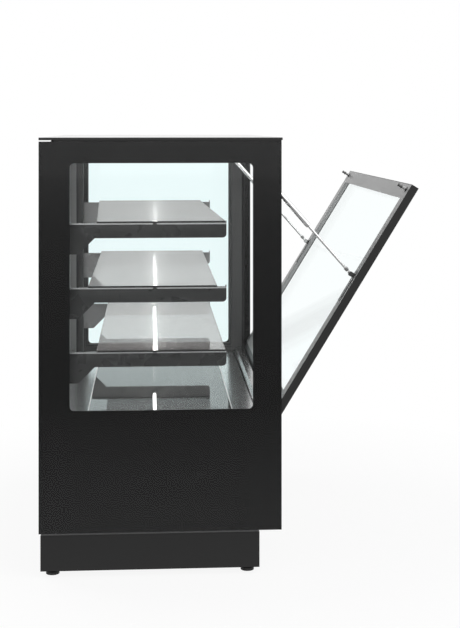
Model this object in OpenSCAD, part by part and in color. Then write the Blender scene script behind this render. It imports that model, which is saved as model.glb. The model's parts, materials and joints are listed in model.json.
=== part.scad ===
// Refrigerated display counter: a glass-sided case with three glass shelves, a front glass door
// that tips forward on gas struts, sliding glass doors at the back and its cooling plant in the base.
// X is the width, Y runs from the customers' side to the staff's side, and Z is up.
// The origin is on the floor, at the centre of the room that the counter takes with its door open.

/* [Cabinet] */
// Width over the two side glasses
body_w = 1200; // [1160:10:1500]
// Depth of a side glass
body_d = 720; // [716:2:800]
// Height of a side glass
side_h = 1158; // [1150:2:1300]
// Gap between the side glasses and the top glass
top_gap = 4; // [3:0.5:8]
// Thickness of the top glass
top_glass_t = 8; // [6:1:12]
// How far the top glass stands out at the front
top_overhang = 3; // [0:1:10]
// Height of the insulated canopy under the top glass
canopy_h = 40; // [30:2:44]

/* [Base] */
// Free height under the plinth
foot_gap = 19; // [18:1:40]
// Radius of a foot's pad
foot_r = 20; // [15:1:28]
// Height of the plinth
plinth_h = 111; // [90:1:150]
// Setback of the plinth at the front
plinth_front_in = 66; // [50:2:90]
// Setback of the plinth at the back
plinth_rear_in = 5; // [3:1:12]
// Setback of the plinth at each side
plinth_side_in = 8; // [6:1:14]
// Side of a chassis rail
rail_w = 50; // [46:1:60]
// Height of the machine bay
bay_h = 200; // [196:2:240]

/* [Side walls] */
// Thickness of an outer side glass
side_glass_t = 5; // [4:0.5:6]
// Thickness of an inner side pane
inner_glass_t = 4; // [3:0.5:6]
// Air gap in a side wall
side_gap = 12; // [9:1:14]
// From the side glass's front edge to the window
window_front_in = 86; // [80:2:110]
// From the side glass's back edge to the window
window_rear_in = 91; // [86:1:110]
// From the side glass's lower edge to the window
window_bottom = 362; // [356:2:400]
// From the side glass's upper edge to the window
window_top_in = 64; // [62:1:90]
// Corner radius of the window
window_r = 14; // [6:1:30]

/* [Tub and deck] */
// Height of the insulated tub from the machine bay to the deck
tub_h = 134; // [130:2:160]
// Foam wall of the tub at its two ends
tub_end_wall = 34; // [28:1:40]
// Foam wall of the tub at the front and the back
tub_long_wall = 54; // [44:2:56]
// Foam floor of the tub
tub_floor = 40; // [30:2:44]
// Thickness of the air grilles
deck_t = 2; // [1.5:0.5:3]
// Thickness of the glass deck plate
deck_glass_t = 10; // [8:0.5:12]
// From the cabinet's front to the deck plate
deck_front_in = 141; // [130:1:160]
// Depth of the air grille behind the deck plate
rear_grille_d = 94; // [76:2:120]

/* [Front door] */
// Thickness of each door pane
door_glass_t = 6; // [4:0.5:6]
// Air gap in the door
door_gap = 12; // [10:1:14]
// Gap between the closed door's upper edge and the header's lip
door_top_play = 2; // [1.5:0.5:6]
// How far the open door leans forward, in degrees
door_open = 31.6; // [20:0.2:36]
// Width of the printed border on the door
border_w = 49; // [30:1:60]
// Thickness of the profiles round the door's edge
edge_t = 2; // [1.5:0.5:3]
// How far up the door the struts' lower ball is, as a share of the door's length
strut_on_door_share = 0.59; // [0.57:0.005:0.63]

/* [Gas struts] */
// Radius of a strut's tube
strut_tube_r = 8; // [7:0.5:9]
// Radius of a strut's rod
strut_rod_r = 4; // [3:0.5:5]
// Length of a strut's tube from its upper ball, as a share of the shut strut's length
strut_tube_share = 0.909; // [0.86:0.001:0.915]
// Length of a strut's rod from its lower ball, as a share of the shut strut's length
strut_rod_share = 0.842; // [0.78:0.001:0.87]
// From the side wall's front to the struts' upper ball
strut_top_back = 59; // [50:1:70]
// From the canopy down to the struts' upper ball
strut_top_drop = 8; // [7:0.5:12]
// From the cabinet's side to a strut
strut_side_in = 45; // [43:1:50]

/* [Shelves] */
// Height of the lowest shelf over the deck, as a share of the room under the canopy
shelf_first_share = 0.244; // [0.244:0.001:0.282]
// Step from one shelf to the next, as a share of the room under the canopy
shelf_step_share = 0.2485; // [0.216:0.0005:0.262]
// How far a glass shelf reaches past the middle of its arms
shelf_past_arm = 11; // [7:1:13]
// From a glass shelf's back edge to the uprights
shelf_behind = 93.2; // [88.2:1:140.2]
// Thickness of a glass shelf
shelf_t = 6; // [5:1:8]
// Turn of the upper shelf on its arms, in degrees
shelf_skew = 1.8; // [0:0.1:1.8]
// Thickness of a shelf arm
arm_t = 3; // [2:0.5:4]
// Height of a shelf arm
arm_h = 45.5; // [36:0.5:50]
// Height of a shelf arm's root
arm_root_h = 94; // [88:1:110]
// From the cabinet's side to a shelf arm
arm_side_in = 70; // [69:0.5:72]
// Radius of a light tube
light_r = 6; // [5:0.5:8]

/* [Rear doors] */
// Thickness of a sliding door
slider_t = 12; // [10:1:13]
// Width of a sliding door's frame
slider_frame_w = 40; // [30:1:50]
// How far the two sliding doors overlap
slider_overlap = 40; // [30:2:60]

/* [Cooling plant] */
// Radius of the compressor's shell
comp_r = 80; // [70:1:84]
// Height of the compressor's shell
comp_h = 150; // [130:2:154]
// Width of the condenser coil
cond_w = 260; // [240:5:300]
// Height of the condenser coil
cond_h = 170; // [166:1:174]
// Radius of the condenser fan
cond_fan_r = 62; // [50:1:64]
// Width of the evaporator coil
evap_w = 700; // [600:10:760]
// Radius of an evaporator fan
evap_fan_r = 36; // [28:1:38]

/* [Hidden] */
$fn = 40;

// Overrun of every cut
cut = 1;
// Thickness of the black printed layers
print_t = 0.6;
// Play round a piece that sits in a hole
fit = 0.3;
// Radial play of a shaft in its bearing
shaft_fit = 0.05;
// Finest step of the places along the depth
depth_step = 0.001;

// Levels from the floor up
plinth_z = foot_gap;
base_z = foot_gap + plinth_h;
tub_z = base_z + bay_h;
deck_z = tub_z + tub_h;
rim_z = deck_z - deck_t;
side_top_z = base_z + side_h;
top_z = side_top_z + top_gap;
tape_t = 8;
canopy_top_z = top_z - tape_t;
canopy_z = canopy_top_z - canopy_h;
room_h = canopy_z - deck_z;
header_lip_h = 12;

// Places across the width
half_w = body_w / 2;
print_x = half_w - side_glass_t;
wall_x = print_x - print_t;
inner_x = wall_x - side_gap - inner_glass_t;
plinth_t = 2;
chassis_x = half_w - plinth_side_in - plinth_t;
comp_side_in = 270;
comp_x = half_w - comp_side_in;

// Places along the depth
door_t = 2 * door_glass_t + door_gap;
hinge_z = deck_z + door_t / 2;
door_len = canopy_top_z - header_lip_h - door_top_play - hinge_z;
door_reach = door_len * sin(door_open) - door_t / 2 * (1 - cos(door_open));
front_y = round((door_reach - body_d) / 2 / depth_step) * depth_step;
rear_y = front_y + body_d;
gasket_t = 9.6;
gasket_w = 12;
gasket_play = 0.4;
frame_y = front_y + door_t + gasket_play + gasket_t;
plinth_y = front_y + plinth_front_in;
plinth_back_y = rear_y - plinth_rear_in;
back_y = plinth_back_y - plinth_t;
hinge_y = front_y + door_t / 2;

// The frame of the rear doors, with a groove for each door
slider_play = 1;
groove_w = slider_t + 2 * slider_play;
groove_lip = 3.5;
groove_web = 3;
frame_depth = 2 * (groove_lip + groove_w) + groove_web;
slide_y = back_y - frame_depth;

// The window in the side walls
window_y0 = front_y + window_front_in;
window_y1 = rear_y - window_rear_in;
window_z0 = base_z + window_bottom;
window_z1 = side_top_z - window_top_in;

// A block from its lowest corner to its highest
module block(low, high) translate(low) cube(high - low);

// The children and their mirror image at the other side of the cabinet
module both_sides() {
    children();
    mirror([1, 0, 0]) children();
}

// A round bar along X, Y or Z
module bar_x(x0, x1, y, z, r) translate([x0, y, z]) rotate([0, 90, 0]) cylinder(r = r, h = x1 - x0);
module bar_y(x, y0, y1, z, r) translate([x, y1, z]) rotate([90, 0, 0]) cylinder(r = r, h = y1 - y0);
module bar_z(x, y, z0, z1, r) translate([x, y, z0]) cylinder(r = r, h = z1 - z0);

// An outline in the plane of Y and Z, given thickness from x0 to x1
module slab_x(x0, x1) translate([x0, 0, 0]) rotate([90, 0, 90]) linear_extrude(x1 - x0) children();

// An outline in the plane of X and Z, given thickness from y0 to y1
module slab_y(y0, y1) translate([0, y1, 0]) rotate([90, 0, 0]) linear_extrude(y1 - y0) children();

// A rectangle from corner to corner, with round corners
module round_rect(low, high, r) {
    translate([low.x + r, low.y]) square([high.x - low.x - 2 * r, high.y - low.y]);
    translate([low.x, low.y + r]) square([high.x - low.x, high.y - low.y - 2 * r]);
    for (x = [low.x + r, high.x - r], y = [low.y + r, high.y - r]) translate([x, y]) circle(r);
}

// A slot with round ends, along X
module long_slot(length, width) {
    square([length - width, width], center = true);
    for (side = [-1, 1]) translate([side * (length - width) / 2, 0]) circle(width / 2);
}

// A pipe through a list of points, with round elbows
module pipe(points, r) {
    for (i = [0 : len(points) - 2]) {
        step = points[i + 1] - points[i];
        translate(points[i]) rotate([0, acos(step.z / norm(step)), atan2(step.y, step.x)])
            cylinder(r = r, h = norm(step));
    }
    for (i = [1 : len(points) - 2]) translate(points[i]) sphere(r);
}

// Base: chassis, plinth, feet and pan

rail_t = 3;
rail_z = base_z - rail_w;
stem_r = 5;
foot_in_x = 50;
foot_in_y = 33.5;
foot_x = half_w - foot_in_x;
foot_front_y = plinth_y + foot_in_y;
foot_rear_y = plinth_back_y - foot_in_y;

module channel_x(y0, open_back) {
    lip_y = open_back ? y0 + rail_t : y0 - cut;
    difference() {
        block([-chassis_x, y0, rail_z], [chassis_x, y0 + rail_w, base_z]);
        block([-chassis_x + rail_w, lip_y, rail_z + rail_t],
            [chassis_x - rail_w, lip_y + rail_w - rail_t + cut, base_z - rail_t]);
    }
}

module chassis_frame() color("#35373a") {
    front_rail_y = plinth_y + plinth_t;
    rear_rail_y = back_y - rail_w;
    stem_hole_r = stem_r + fit;
    difference() {
        union() {
            channel_x(front_rail_y, true);
            channel_x(rear_rail_y, false);
            both_sides() block([chassis_x - rail_w, front_rail_y, rail_z], [chassis_x, back_y, base_z]);
            block([-rail_w / 2, front_rail_y + rail_t, rail_z], [rail_w / 2, back_y - rail_t, base_z]);
        }
        both_sides() {
            block([chassis_x - rail_w - cut, front_rail_y + rail_w, rail_z + rail_t],
                [chassis_x - rail_t, rear_rail_y, base_z - rail_t]);
            for (y = [foot_front_y, foot_rear_y]) {
                bar_z(foot_x, y, rail_z - cut, rail_z + rail_t + cut, stem_hole_r);
                block([foot_x - nut_room / 2, y - nut_room / 2, rail_z + rail_t],
                    [foot_x + nut_room / 2, y + nut_room / 2, base_z - rail_t]);
            }
        }
        block([-rail_w / 2 + rail_t, front_rail_y + rail_w, rail_z - cut],
            [rail_w / 2 - rail_t, rear_rail_y, base_z - rail_t]);
    }
    both_sides() for (y = [front_rail_y, rear_rail_y]) difference() {
        inner_y = y == front_rail_y ? y + rail_t : y - cut;
        block([chassis_x - rail_w, y, base_z], [chassis_x, y + rail_w, tub_z]);
        block([chassis_x - rail_w - cut, inner_y, base_z],
            [chassis_x - rail_t, inner_y + rail_w - rail_t + cut, tub_z + cut]);
    }
}

plinth_below = 6;

// The skirt stops short of the cabinet, so a line of the chassis shows
module plinth_skirt() color("#2a2b2d") difference() {
    skirt_x = half_w - plinth_side_in;
    block([-skirt_x, plinth_y, plinth_z], [skirt_x, plinth_back_y, base_z - plinth_below]);
    block([-chassis_x, plinth_y + plinth_t, plinth_z - cut], [chassis_x, back_y, base_z + cut]);
}

pad_h = 8;
pad_neck_r = 11;
nut_r = 9;
nut_h = 8;
nut_room = 22;
stem_over = 6;

module levelling_feet() color("#3a3a3c") both_sides() for (y = [foot_front_y, foot_rear_y]) {
    bar_z(foot_x, y, 0, pad_h, foot_r);
    bar_z(foot_x, y, pad_h, pad_h + nut_h, pad_neck_r);
    bar_z(foot_x, y, pad_h, rail_z + rail_t + nut_h + stem_over, stem_r);
    translate([foot_x, y, rail_z - nut_h]) cylinder(r = nut_r, h = nut_h, $fn = 6);
    translate([foot_x, y, rail_z + rail_t]) cylinder(r = nut_r, h = nut_h, $fn = 6);
}

pan_t = 1.5;
pan_play = 2;

// The pan covers the machine bay's floor, and in front of the chassis the whole width
module base_pan() color("#9a9c9e") {
    pan_x = chassis_x - rail_w - pan_play;
    block([-pan_x, front_y + panel_t, base_z], [pan_x, back_y - pan_play, base_z + pan_t]);
    block([-wall_x, front_y + panel_t, base_z],
        [wall_x, plinth_y + plinth_t - pan_play, base_z + pan_t]);
}

// Tub, deck, grilles and the panels round them

sill_t = 12;
sill_back_in = 57;
sill_up = 14;
sill_y = front_y + sill_back_in;
panel_t = 3;
panel_play = 2;
drain_r = 8;
drain_drop = 110;
drain_wall = 2;
pipe_hole_r = 9;
cavity_x = wall_x - tub_end_wall;
cavity_y0 = front_y + panel_t + tub_long_wall;
cavity_y1 = back_y - tub_long_wall;
cavity_z = tub_z + tub_floor;
drain_beside = 270;
drain_x = comp_x - drain_beside;
drain_y = (cavity_y0 + cavity_y1) / 2;
evap_end_room = 60;
pipe_x = evap_w / 2 + evap_end_room / 2;
pipe_y = drain_y;

module insulated_tub() color("#c9cacb") difference() {
    union() {
        block([-wall_x, front_y + panel_t, tub_z], [wall_x, back_y, rim_z]);
        bar_z(drain_x, drain_y, tub_z - drain_drop, tub_z, drain_r);
    }
    block([-cavity_x, cavity_y0, cavity_z], [cavity_x, cavity_y1, rim_z + cut]);
    block([-wall_x - cut, front_y, rim_z - sill_t], [wall_x + cut, sill_y, rim_z + cut]);
    bar_z(drain_x, drain_y, tub_z - drain_drop - cut, cavity_z + cut, drain_r - drain_wall);
    bar_z(pipe_x, pipe_y, tub_z - cut, cavity_z + cut, pipe_hole_r);
}

deck_play = 1;
deck_y0 = front_y + deck_front_in;
deck_y1 = slide_y - deck_play - rear_grille_d;

module deck_plate() color("#6b6c6d")
    block([-inner_x + deck_play, deck_y0, rim_z], [inner_x - deck_play, deck_y1, rim_z + deck_glass_t]);

slot_l = 42;
slot_w = 5;
slot_pitch = 48;
slot_in = 11;
grille_edge = 40;

// An air grille between two depths, with one row of round-ended slots
module air_grille(y0, y1, slots_y) {
    room = inner_x - deck_play - grille_edge;
    count = floor(room / slot_pitch);
    difference() {
        block([-inner_x + deck_play, y0, rim_z], [inner_x - deck_play, y1, deck_z]);
        for (i = [-count : count]) translate([i * slot_pitch, slots_y, rim_z - cut])
            linear_extrude(deck_t + 2 * cut) long_slot(slot_l, slot_w);
    }
}

module front_air_grille() color("#77787a") air_grille(sill_y, deck_y0, sill_y + slot_in);
module rear_air_grille() color("#8a8b8d") {
    grille_y1 = slide_y - deck_play;
    air_grille(deck_y1, grille_y1, grille_y1 - slot_in);
}

module front_sill() color("#4a4c4e") {
    block([-wall_x, front_y + panel_t, rim_z - sill_t], [wall_x, sill_y, rim_z]);
    block([-inner_x, frame_y, rim_z], [inner_x, sill_y, rim_z + deck_t + sill_up]);
}

module lower_front_panel() color("#1d1d1f")
    block([-wall_x + fit, front_y, base_z + panel_play],
        [wall_x - fit, front_y + panel_t, rim_z - panel_play]);

// Side walls

ring_w = 10;
ring_in = 2;
pane_over = ring_in + ring_w;
wall_play = 0.5;

module side_glass() block([print_x, front_y, base_z], [half_w, rear_y, side_top_z]);
module left_side_glass() color("#c8dcdc", 0.35) mirror([1, 0, 0]) side_glass();
module right_side_glass() color("#c8dcdc", 0.35) side_glass();

module side_glass_prints() color("#18181a") both_sides() slab_x(wall_x, print_x) difference() {
    translate([front_y, base_z]) square([body_d, side_h]);
    round_rect([window_y0, window_z0], [window_y1, window_z1], window_r);
}

// The window's outline, made larger by a margin, from x0 to x1
module window_block(x0, x1, margin)
    block([x0, window_y0 - margin, window_z0 - margin], [x1, window_y1 + margin, window_z1 + margin]);

module side_inner_panes() color("#c8dcdc", 0.35) both_sides()
    window_block(inner_x, inner_x + inner_glass_t, pane_over);

module side_glass_spacers() color("#b9bbbd") both_sides() difference() {
    window_block(inner_x + inner_glass_t, wall_x, pane_over);
    window_block(inner_x, wall_x + cut, ring_in);
}

module side_wall_frames() color("#48494b") both_sides() difference() {
    block([inner_x, frame_y, rim_z], [wall_x, back_y, canopy_top_z]);
    window_block(inner_x - cut, wall_x + cut, pane_over + wall_play);
}

// Top

header_t = 20;
header_drop = 16;
lip_play = 1;
catch_r = 4;
catch_head_r = 6;
catch_room = 2;
catch_down = 20;
catch_side_in = 44;
catch_len = 30;
catch_x = half_w - catch_side_in;

module canopy() color("#3c3d40")
    block([-inner_x, frame_y + header_t, canopy_z], [inner_x, back_y, canopy_top_z]);

module front_header() color("#2b2c2e") difference() {
    union() {
        block([-inner_x, frame_y, canopy_z - header_drop], [inner_x, frame_y + header_t, canopy_top_z]);
        block([-wall_x + lip_play, front_y, canopy_top_z - header_lip_h],
            [wall_x - lip_play, frame_y, canopy_top_z]);
    }
    catch_z = hinge_z + door_len - catch_down;
    both_sides() bar_y(catch_x, frame_y - cut, frame_y + header_t + cut, catch_z, catch_head_r + catch_room);
}

module top_glass() color("#26282b")
    block([-half_w, front_y - top_overhang, top_z], [half_w, rear_y, top_z + top_glass_t]);

tape_in = 28;
tape_w = 14;
edge_strip_in = 0.6;
edge_strip_back = 44;

// The tape on the canopy, and a strip between the top glass and each side glass
module top_glass_tape() color("#1a1a1c") {
    difference() {
        block([-half_w + tape_in, front_y + tape_in, canopy_top_z],
            [half_w - tape_in, back_y - tape_in, top_z]);
        block([-half_w + tape_in + tape_w, front_y + tape_in + tape_w, canopy_top_z - cut],
            [half_w - tape_in - tape_w, back_y - tape_in - tape_w, top_z + cut]);
    }
    both_sides() block([print_x + edge_strip_in, front_y + edge_strip_in, side_top_z],
        [half_w - edge_strip_in, rear_y - edge_strip_back, top_z]);
}

gasket_side_in = 3.4;
gasket_top_in = 2;
gasket_foot = 3;

module door_gasket() color("#222224") {
    gasket_z = rim_z + gasket_foot;
    gasket_x = wall_x - gasket_side_in;
    gasket_top = hinge_z + door_len - gasket_top_in;
    slab_y(frame_y - gasket_t, frame_y) difference() {
        translate([-gasket_x, gasket_z]) square([2 * gasket_x, gasket_top - gasket_z]);
        translate([-gasket_x + gasket_w, gasket_z + gasket_w])
            square([2 * (gasket_x - gasket_w), gasket_top - gasket_z - 2 * gasket_w]);
    }
}

// Back: sliding doors and their frame, and the service panel

track_h = 16;
groove_floor = 8;
head_track_h = 18;
head_groove = 14;
jamb_t = 12;
slider_lift = 4;
jamb_x = inner_x - wall_play - jamb_t;
slider_y = [slide_y + groove_lip + slider_play, slide_y + groove_lip + groove_w + groove_web + slider_play];

module rear_frame() color("#5a5c5f") difference() {
    block([-inner_x + wall_play, slide_y, rim_z], [inner_x - wall_play, back_y, canopy_z]);
    block([-jamb_x, slide_y - cut, rim_z + track_h], [jamb_x, back_y + cut, canopy_z - head_track_h]);
    for (y = slider_y) block([-jamb_x, y - slider_play, rim_z + groove_floor],
        [jamb_x, y + slider_t + slider_play, canopy_z - head_track_h + head_groove]);
}

slider_glass_t = 8;
pull_w = 14;
pull_depth = 6;
pull_len = 300;
slider_z0 = rim_z + groove_floor + fit;
slider_z1 = canopy_z - head_track_h + head_groove - slider_lift;
slider_w = jamb_x - fit + slider_overlap / 2;

// A sliding door whose outer edge is at the right jamb, with a finger groove in its outer stile
module slider(y) {
    x1 = jamb_x - fit;
    x0 = x1 - slider_w;
    mid_z = (slider_z0 + slider_z1) / 2;
    pull_x = x1 - slider_frame_w / 2;
    color("#b4b6b8") difference() {
        block([x0, y, slider_z0], [x1, y + slider_t, slider_z1]);
        block([x0 + slider_frame_w, y - cut, slider_z0 + slider_frame_w],
            [x1 - slider_frame_w, y + slider_t + cut, slider_z1 - slider_frame_w]);
        block([pull_x - pull_w / 2, y + slider_t - pull_depth, mid_z - pull_len / 2],
            [pull_x + pull_w / 2, y + slider_t + cut, mid_z + pull_len / 2]);
    }
    rim = slider_frame_w + fit;
    color("#c8dcdc", 0.35) block([x0 + rim, y + (slider_t - slider_glass_t) / 2, slider_z0 + rim],
        [x1 - rim, y + (slider_t + slider_glass_t) / 2, slider_z1 - rim]);
}
module left_rear_door() mirror([1, 0, 0]) slider(slider_y[0]);
module right_rear_door() slider(slider_y[1]);

service_t = 2;
louvre_l = 90;
louvre_h = 6;
louvre_pitch = 14;
louvre_rows = 9;
louvre_up = 43;
louvre_z0 = base_z + louvre_up;
louvre_gap = 110;
screw_in = 20;
screw_hole_r = 2.2;
screw_head_r = 4.5;
screw_head_h = 2;
screw_x = wall_x - fit - screw_in;
panel_z0 = base_z + panel_play;
panel_z1 = rim_z - panel_play;

module screw_places() for (x = [-screw_x, 0, screw_x], z = [panel_z0 + screw_in, panel_z1 - screw_in])
    translate([x, 0, z]) children();

// The panel and the six screws in it
module rear_service_panel() color("#2a2b2d") {
    rocker_half = rocker_h / 2 + rocker_room;
    difference() {
        block([-wall_x + fit, back_y, panel_z0], [wall_x - fit, back_y + service_t, panel_z1]);
        for (row = [0 : louvre_rows - 1], column = [-1 : 1])
            translate([cond_x + column * louvre_gap, back_y - cut, louvre_z0 + row * louvre_pitch])
                mirror([0, 1, 0]) rotate([90, 0, 0]) linear_extrude(service_t + 2 * cut)
                    long_slot(louvre_l, louvre_h);
        block([ctrl_x - ctrl_w / 2 - fit, back_y - cut, ctrl_z - ctrl_h / 2 - fit],
            [ctrl_x + ctrl_w / 2 + fit, back_y + service_t + cut, ctrl_z + ctrl_h / 2 + fit]);
        block([inlet_x - inlet_w / 2 - fit, back_y - cut, inlet_z - inlet_h / 2 - fit],
            [inlet_x + inlet_w / 2 + fit, back_y + service_t + cut, inlet_z + inlet_h / 2 + fit]);
        block([rocker_x - rocker_w / 2 - fit, back_y - cut, inlet_z - rocker_half],
            [rocker_x + rocker_w / 2 + fit, back_y + service_t + cut, inlet_z + rocker_half]);
        screw_places() bar_y(0, back_y - cut, back_y + service_t + cut, 0, screw_hole_r);
    }
    screw_places() {
        bar_y(0, back_y, back_y + service_t + fit, 0, screw_hole_r - fit);
        bar_y(0, back_y + service_t + fit, back_y + service_t + fit + screw_head_h, 0, screw_head_r);
    }
}

// Shelf uprights, arms, shelves and lights

upright_w = 30;
upright_d = 12;
upright_t = 2;
uprights_in = 75;
uprights_y = rear_y - uprights_in;
arm_x = half_w - arm_side_in;
hook_w = arm_t;
hook_h = 12;
hook_depth = 6;
slot_play = 0.5;
slots_per_step = 6;
slots_below = 4;
hook_step = room_h * shelf_step_share / slots_per_step;
hook_down = 20;

function shelf_z(i) = deck_z + room_h * (shelf_first_share + i * shelf_step_share);

module slotted_uprights() color("#c4c6c8") both_sides() difference() {
    low_z = shelf_z(0) - hook_down - slots_below * hook_step;
    count = floor((canopy_z - low_z - hook_step) / hook_step);
    block([arm_x - upright_w / 2, uprights_y, deck_z],
        [arm_x + upright_w / 2, uprights_y + upright_d, canopy_z]);
    block([arm_x - upright_w / 2 + upright_t, uprights_y + upright_t, deck_z - cut],
        [arm_x + upright_w / 2 - upright_t, uprights_y + upright_d + cut, canopy_z + cut]);
    for (k = [0 : count]) {
        z = low_z + k * hook_step;
        block([arm_x - hook_w / 2 - slot_play, uprights_y - cut, z - hook_h / 2 - slot_play],
            [arm_x + hook_w / 2 + slot_play, uprights_y + upright_t + cut, z + hook_h / 2 + slot_play]);
    }
}

arm_tip_in = 161;
arm_tip_y = front_y + arm_tip_in;
arm_tip_r = 12;
tip_steps = 8;
arm_lip_t = 3;
arm_lip_h = 6;
arm_root_d = 38;
arm_flange_w = 12;
arm_root_y = uprights_y - wall_play;

// One shelf arm for a glass at height z
module shelf_arm(z) {
    chamfer = arm_root_h - arm_h;
    tip_round = [for (i = [0 : tip_steps]) [arm_tip_y + arm_tip_r * (1 - cos(90 * i / tip_steps)),
        z - arm_h + arm_tip_r * (1 - sin(90 * i / tip_steps))]];
    slab_x(arm_x - arm_t / 2, arm_x + arm_t / 2)
        polygon(concat([[arm_tip_y, z + arm_lip_h]], tip_round,
            [[arm_root_y - arm_root_d - chamfer, z - arm_h], [arm_root_y - arm_root_d, z - arm_root_h],
            [arm_root_y, z - arm_root_h], [arm_root_y, z], [arm_tip_y + arm_lip_t, z],
            [arm_tip_y + arm_lip_t, z + arm_lip_h]]));
    block([arm_x - arm_t / 2 - arm_flange_w, arm_tip_y, z - arm_t], [arm_x, arm_root_y - arm_root_d, z]);
    for (slots = [0, 2]) {
        hook_z = z - hook_down - slots * hook_step;
        block([arm_x - hook_w / 2, arm_root_y - cut, hook_z - hook_h / 2],
            [arm_x + hook_w / 2, uprights_y + hook_depth, hook_z + hook_h / 2]);
    }
}
module shelf_brackets() color("#3d3e40") both_sides() for (i = [0 : 2]) shelf_arm(shelf_z(i));

shelf_back = 25;
shelf_play = 0.8;
shelf_y = arm_tip_y + arm_lip_t + shelf_play;
shelf_w = 2 * (arm_x + shelf_past_arm);
shelf_d = uprights_y - shelf_y - shelf_behind;

// A glass shelf on the arms of level i, pushed back by a distance and turned on its arms
module glass_shelf(i, back, turn) color("#bfd0cf", 0.4)
    translate([0, shelf_y + back + shelf_d / 2 + arm_x * sin(turn), shelf_z(i)]) rotate([0, 0, turn])
        translate([-shelf_w / 2, -shelf_d / 2, 0]) cube([shelf_w, shelf_d, shelf_t]);
module upper_glass_shelf() glass_shelf(2, 0, shelf_skew);
module middle_glass_shelf() glass_shelf(1, shelf_back, 0);
module lower_glass_shelf() glass_shelf(0, 0, 0);

light_in = 374;
light_y = front_y + light_in;
light_down = 16;
holder_t = 12;
holder_w = 20;
holder_h = 25;
top_light_h = 12;

module light_tubes() {
    end_x = arm_x - arm_t / 2;
    for (i = [0 : 2]) {
        z = shelf_z(i) - arm_t - fit;
        tube_x = end_x - holder_t - fit;
        color("#f4f4f2") bar_x(-tube_x, tube_x, light_y, z - light_down + arm_t, light_r);
        color("#2c2d2f") both_sides() block([end_x - holder_t, light_y - holder_w / 2, z - holder_h],
            [end_x, light_y + holder_w / 2, z]);
    }
    color("#f4f4f2") block([-end_x, light_y - holder_w / 2, canopy_z - top_light_h],
        [end_x, light_y + holder_w / 2, canopy_z]);
}

// Front door, hinges and struts

// The door stands open by default: its closed shape turned about the hinge axis
module opened()
    translate([0, hinge_y, hinge_z]) rotate([door_open, 0, 0]) translate([0, -hinge_y, -hinge_z]) children();

door_play = 1.4;
door_x = wall_x - door_play;
pane_up = 14;
pane_z0 = hinge_z + pane_up;
door_top = hinge_z + door_len;
door_front = hinge_y - door_t / 2;
door_back = hinge_y + door_t / 2;
spacer_w = 10;
spacer_in = 4;
hinge_len = 33;
pin_r = 4;
pin_len = 30;
rail_x = door_x - hinge_len;

module door_pane(y0, y1) block([-door_x + edge_t, y0, pane_z0], [door_x - edge_t, y1, door_top - edge_t]);
module door_outer_pane() color("#c8dcdc", 0.35) opened()
    door_pane(door_front, door_front + door_glass_t);
module door_inner_pane() color("#c8dcdc", 0.35) opened()
    door_pane(door_back - door_glass_t, door_back - print_t);

// A frame of one width in the door's plane, set in from the panes' edges
module door_ring(y0, y1, inset, width) slab_y(y0, y1) difference() {
    translate([-door_x + edge_t + inset, pane_z0 + inset])
        square([2 * (door_x - edge_t - inset), door_top - edge_t - pane_z0 - 2 * inset]);
    translate([-door_x + edge_t + inset + width, pane_z0 + inset + width])
        square([2 * (door_x - edge_t - inset - width), door_top - edge_t - pane_z0 - 2 * (inset + width)]);
}
module door_glass_spacer() color("#b9bbbd") opened()
    door_ring(door_front + door_glass_t, door_back - door_glass_t, spacer_in, spacer_w);
module door_border_print() color("#9c9c9c") opened() door_ring(door_back - print_t, door_back, 0, border_w);

// The lower rail with its round underside, and the profiles round the other three edges
module door_edge_profiles() color("#2f3033") opened() {
    difference() {
        union() {
            bar_x(-rail_x, rail_x, hinge_y, hinge_z, door_t / 2);
            block([-rail_x, door_front, hinge_z], [rail_x, door_back, pane_z0]);
        }
        both_sides() bar_x(rail_x - pin_len, rail_x + cut, hinge_y, hinge_z, pin_r + shaft_fit);
    }
    both_sides() {
        bar_x(door_x - edge_t, door_x, hinge_y, hinge_z, door_t / 2);
        block([door_x - edge_t, door_front, hinge_z], [door_x, door_back, door_top]);
    }
    block([-door_x, door_front, door_top - edge_t], [door_x, door_back, door_top]);
    both_sides() block([rail_x, door_front, pane_z0 - edge_t / 2], [door_x, door_back, pane_z0]);
}

block_r = 11;
block_play = 0.5;

// Two blocks on the sill, each with the pin that the door's rail turns on
module hinge_blocks() color("#55575a") both_sides() {
    x0 = rail_x + block_play;
    x1 = door_x - edge_t - block_play;
    bar_x(x0, x1, hinge_y, hinge_z, block_r);
    block([x0, hinge_y - block_r / 2, rim_z], [x1, hinge_y + block_r / 2, hinge_z]);
    bar_x(rail_x - pin_len + block_play, x0, hinge_y, hinge_z, pin_r);
}

ball_up = 12;
eye_r = 7;
eye_w = 8;
stud_t = 3;
stud_play = 0.4;
strut_x = half_w - strut_side_in;
strut_on_door = door_len * strut_on_door_share;
ball_y = door_back + ball_up;
ball_z = hinge_z + strut_on_door;
plate_w = 24;
plate_t = 2;
plate_down = 88;
plate_up = 16;
catch_disc_t = 3;
catch_disc_at_share = 0.55;

// Strut studs and catch pins on the door's inner face
module door_fittings() color("#5c5e61") opened() both_sides() {
    stud_x = strut_x + eye_w / 2 + stud_play;
    block([stud_x - plate_w / 2, door_back, ball_z - plate_down],
        [stud_x + plate_w / 2, door_back + plate_t, ball_z + plate_up]);
    block([stud_x, door_back, ball_z - eye_r], [stud_x + stud_t, ball_y, ball_z + eye_r]);
    bar_x(stud_x, stud_x + stud_t, ball_y, ball_z, eye_r);
    bar_y(catch_x, door_back, door_back + catch_len, door_top - catch_down, catch_r);
    bar_y(catch_x, door_back, door_back + catch_disc_t, door_top - catch_down, catch_head_r);
    disc_y = door_back + catch_len * catch_disc_at_share;
    bar_y(catch_x, disc_y, disc_y + catch_disc_t, door_top - catch_down, catch_head_r);
}

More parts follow.
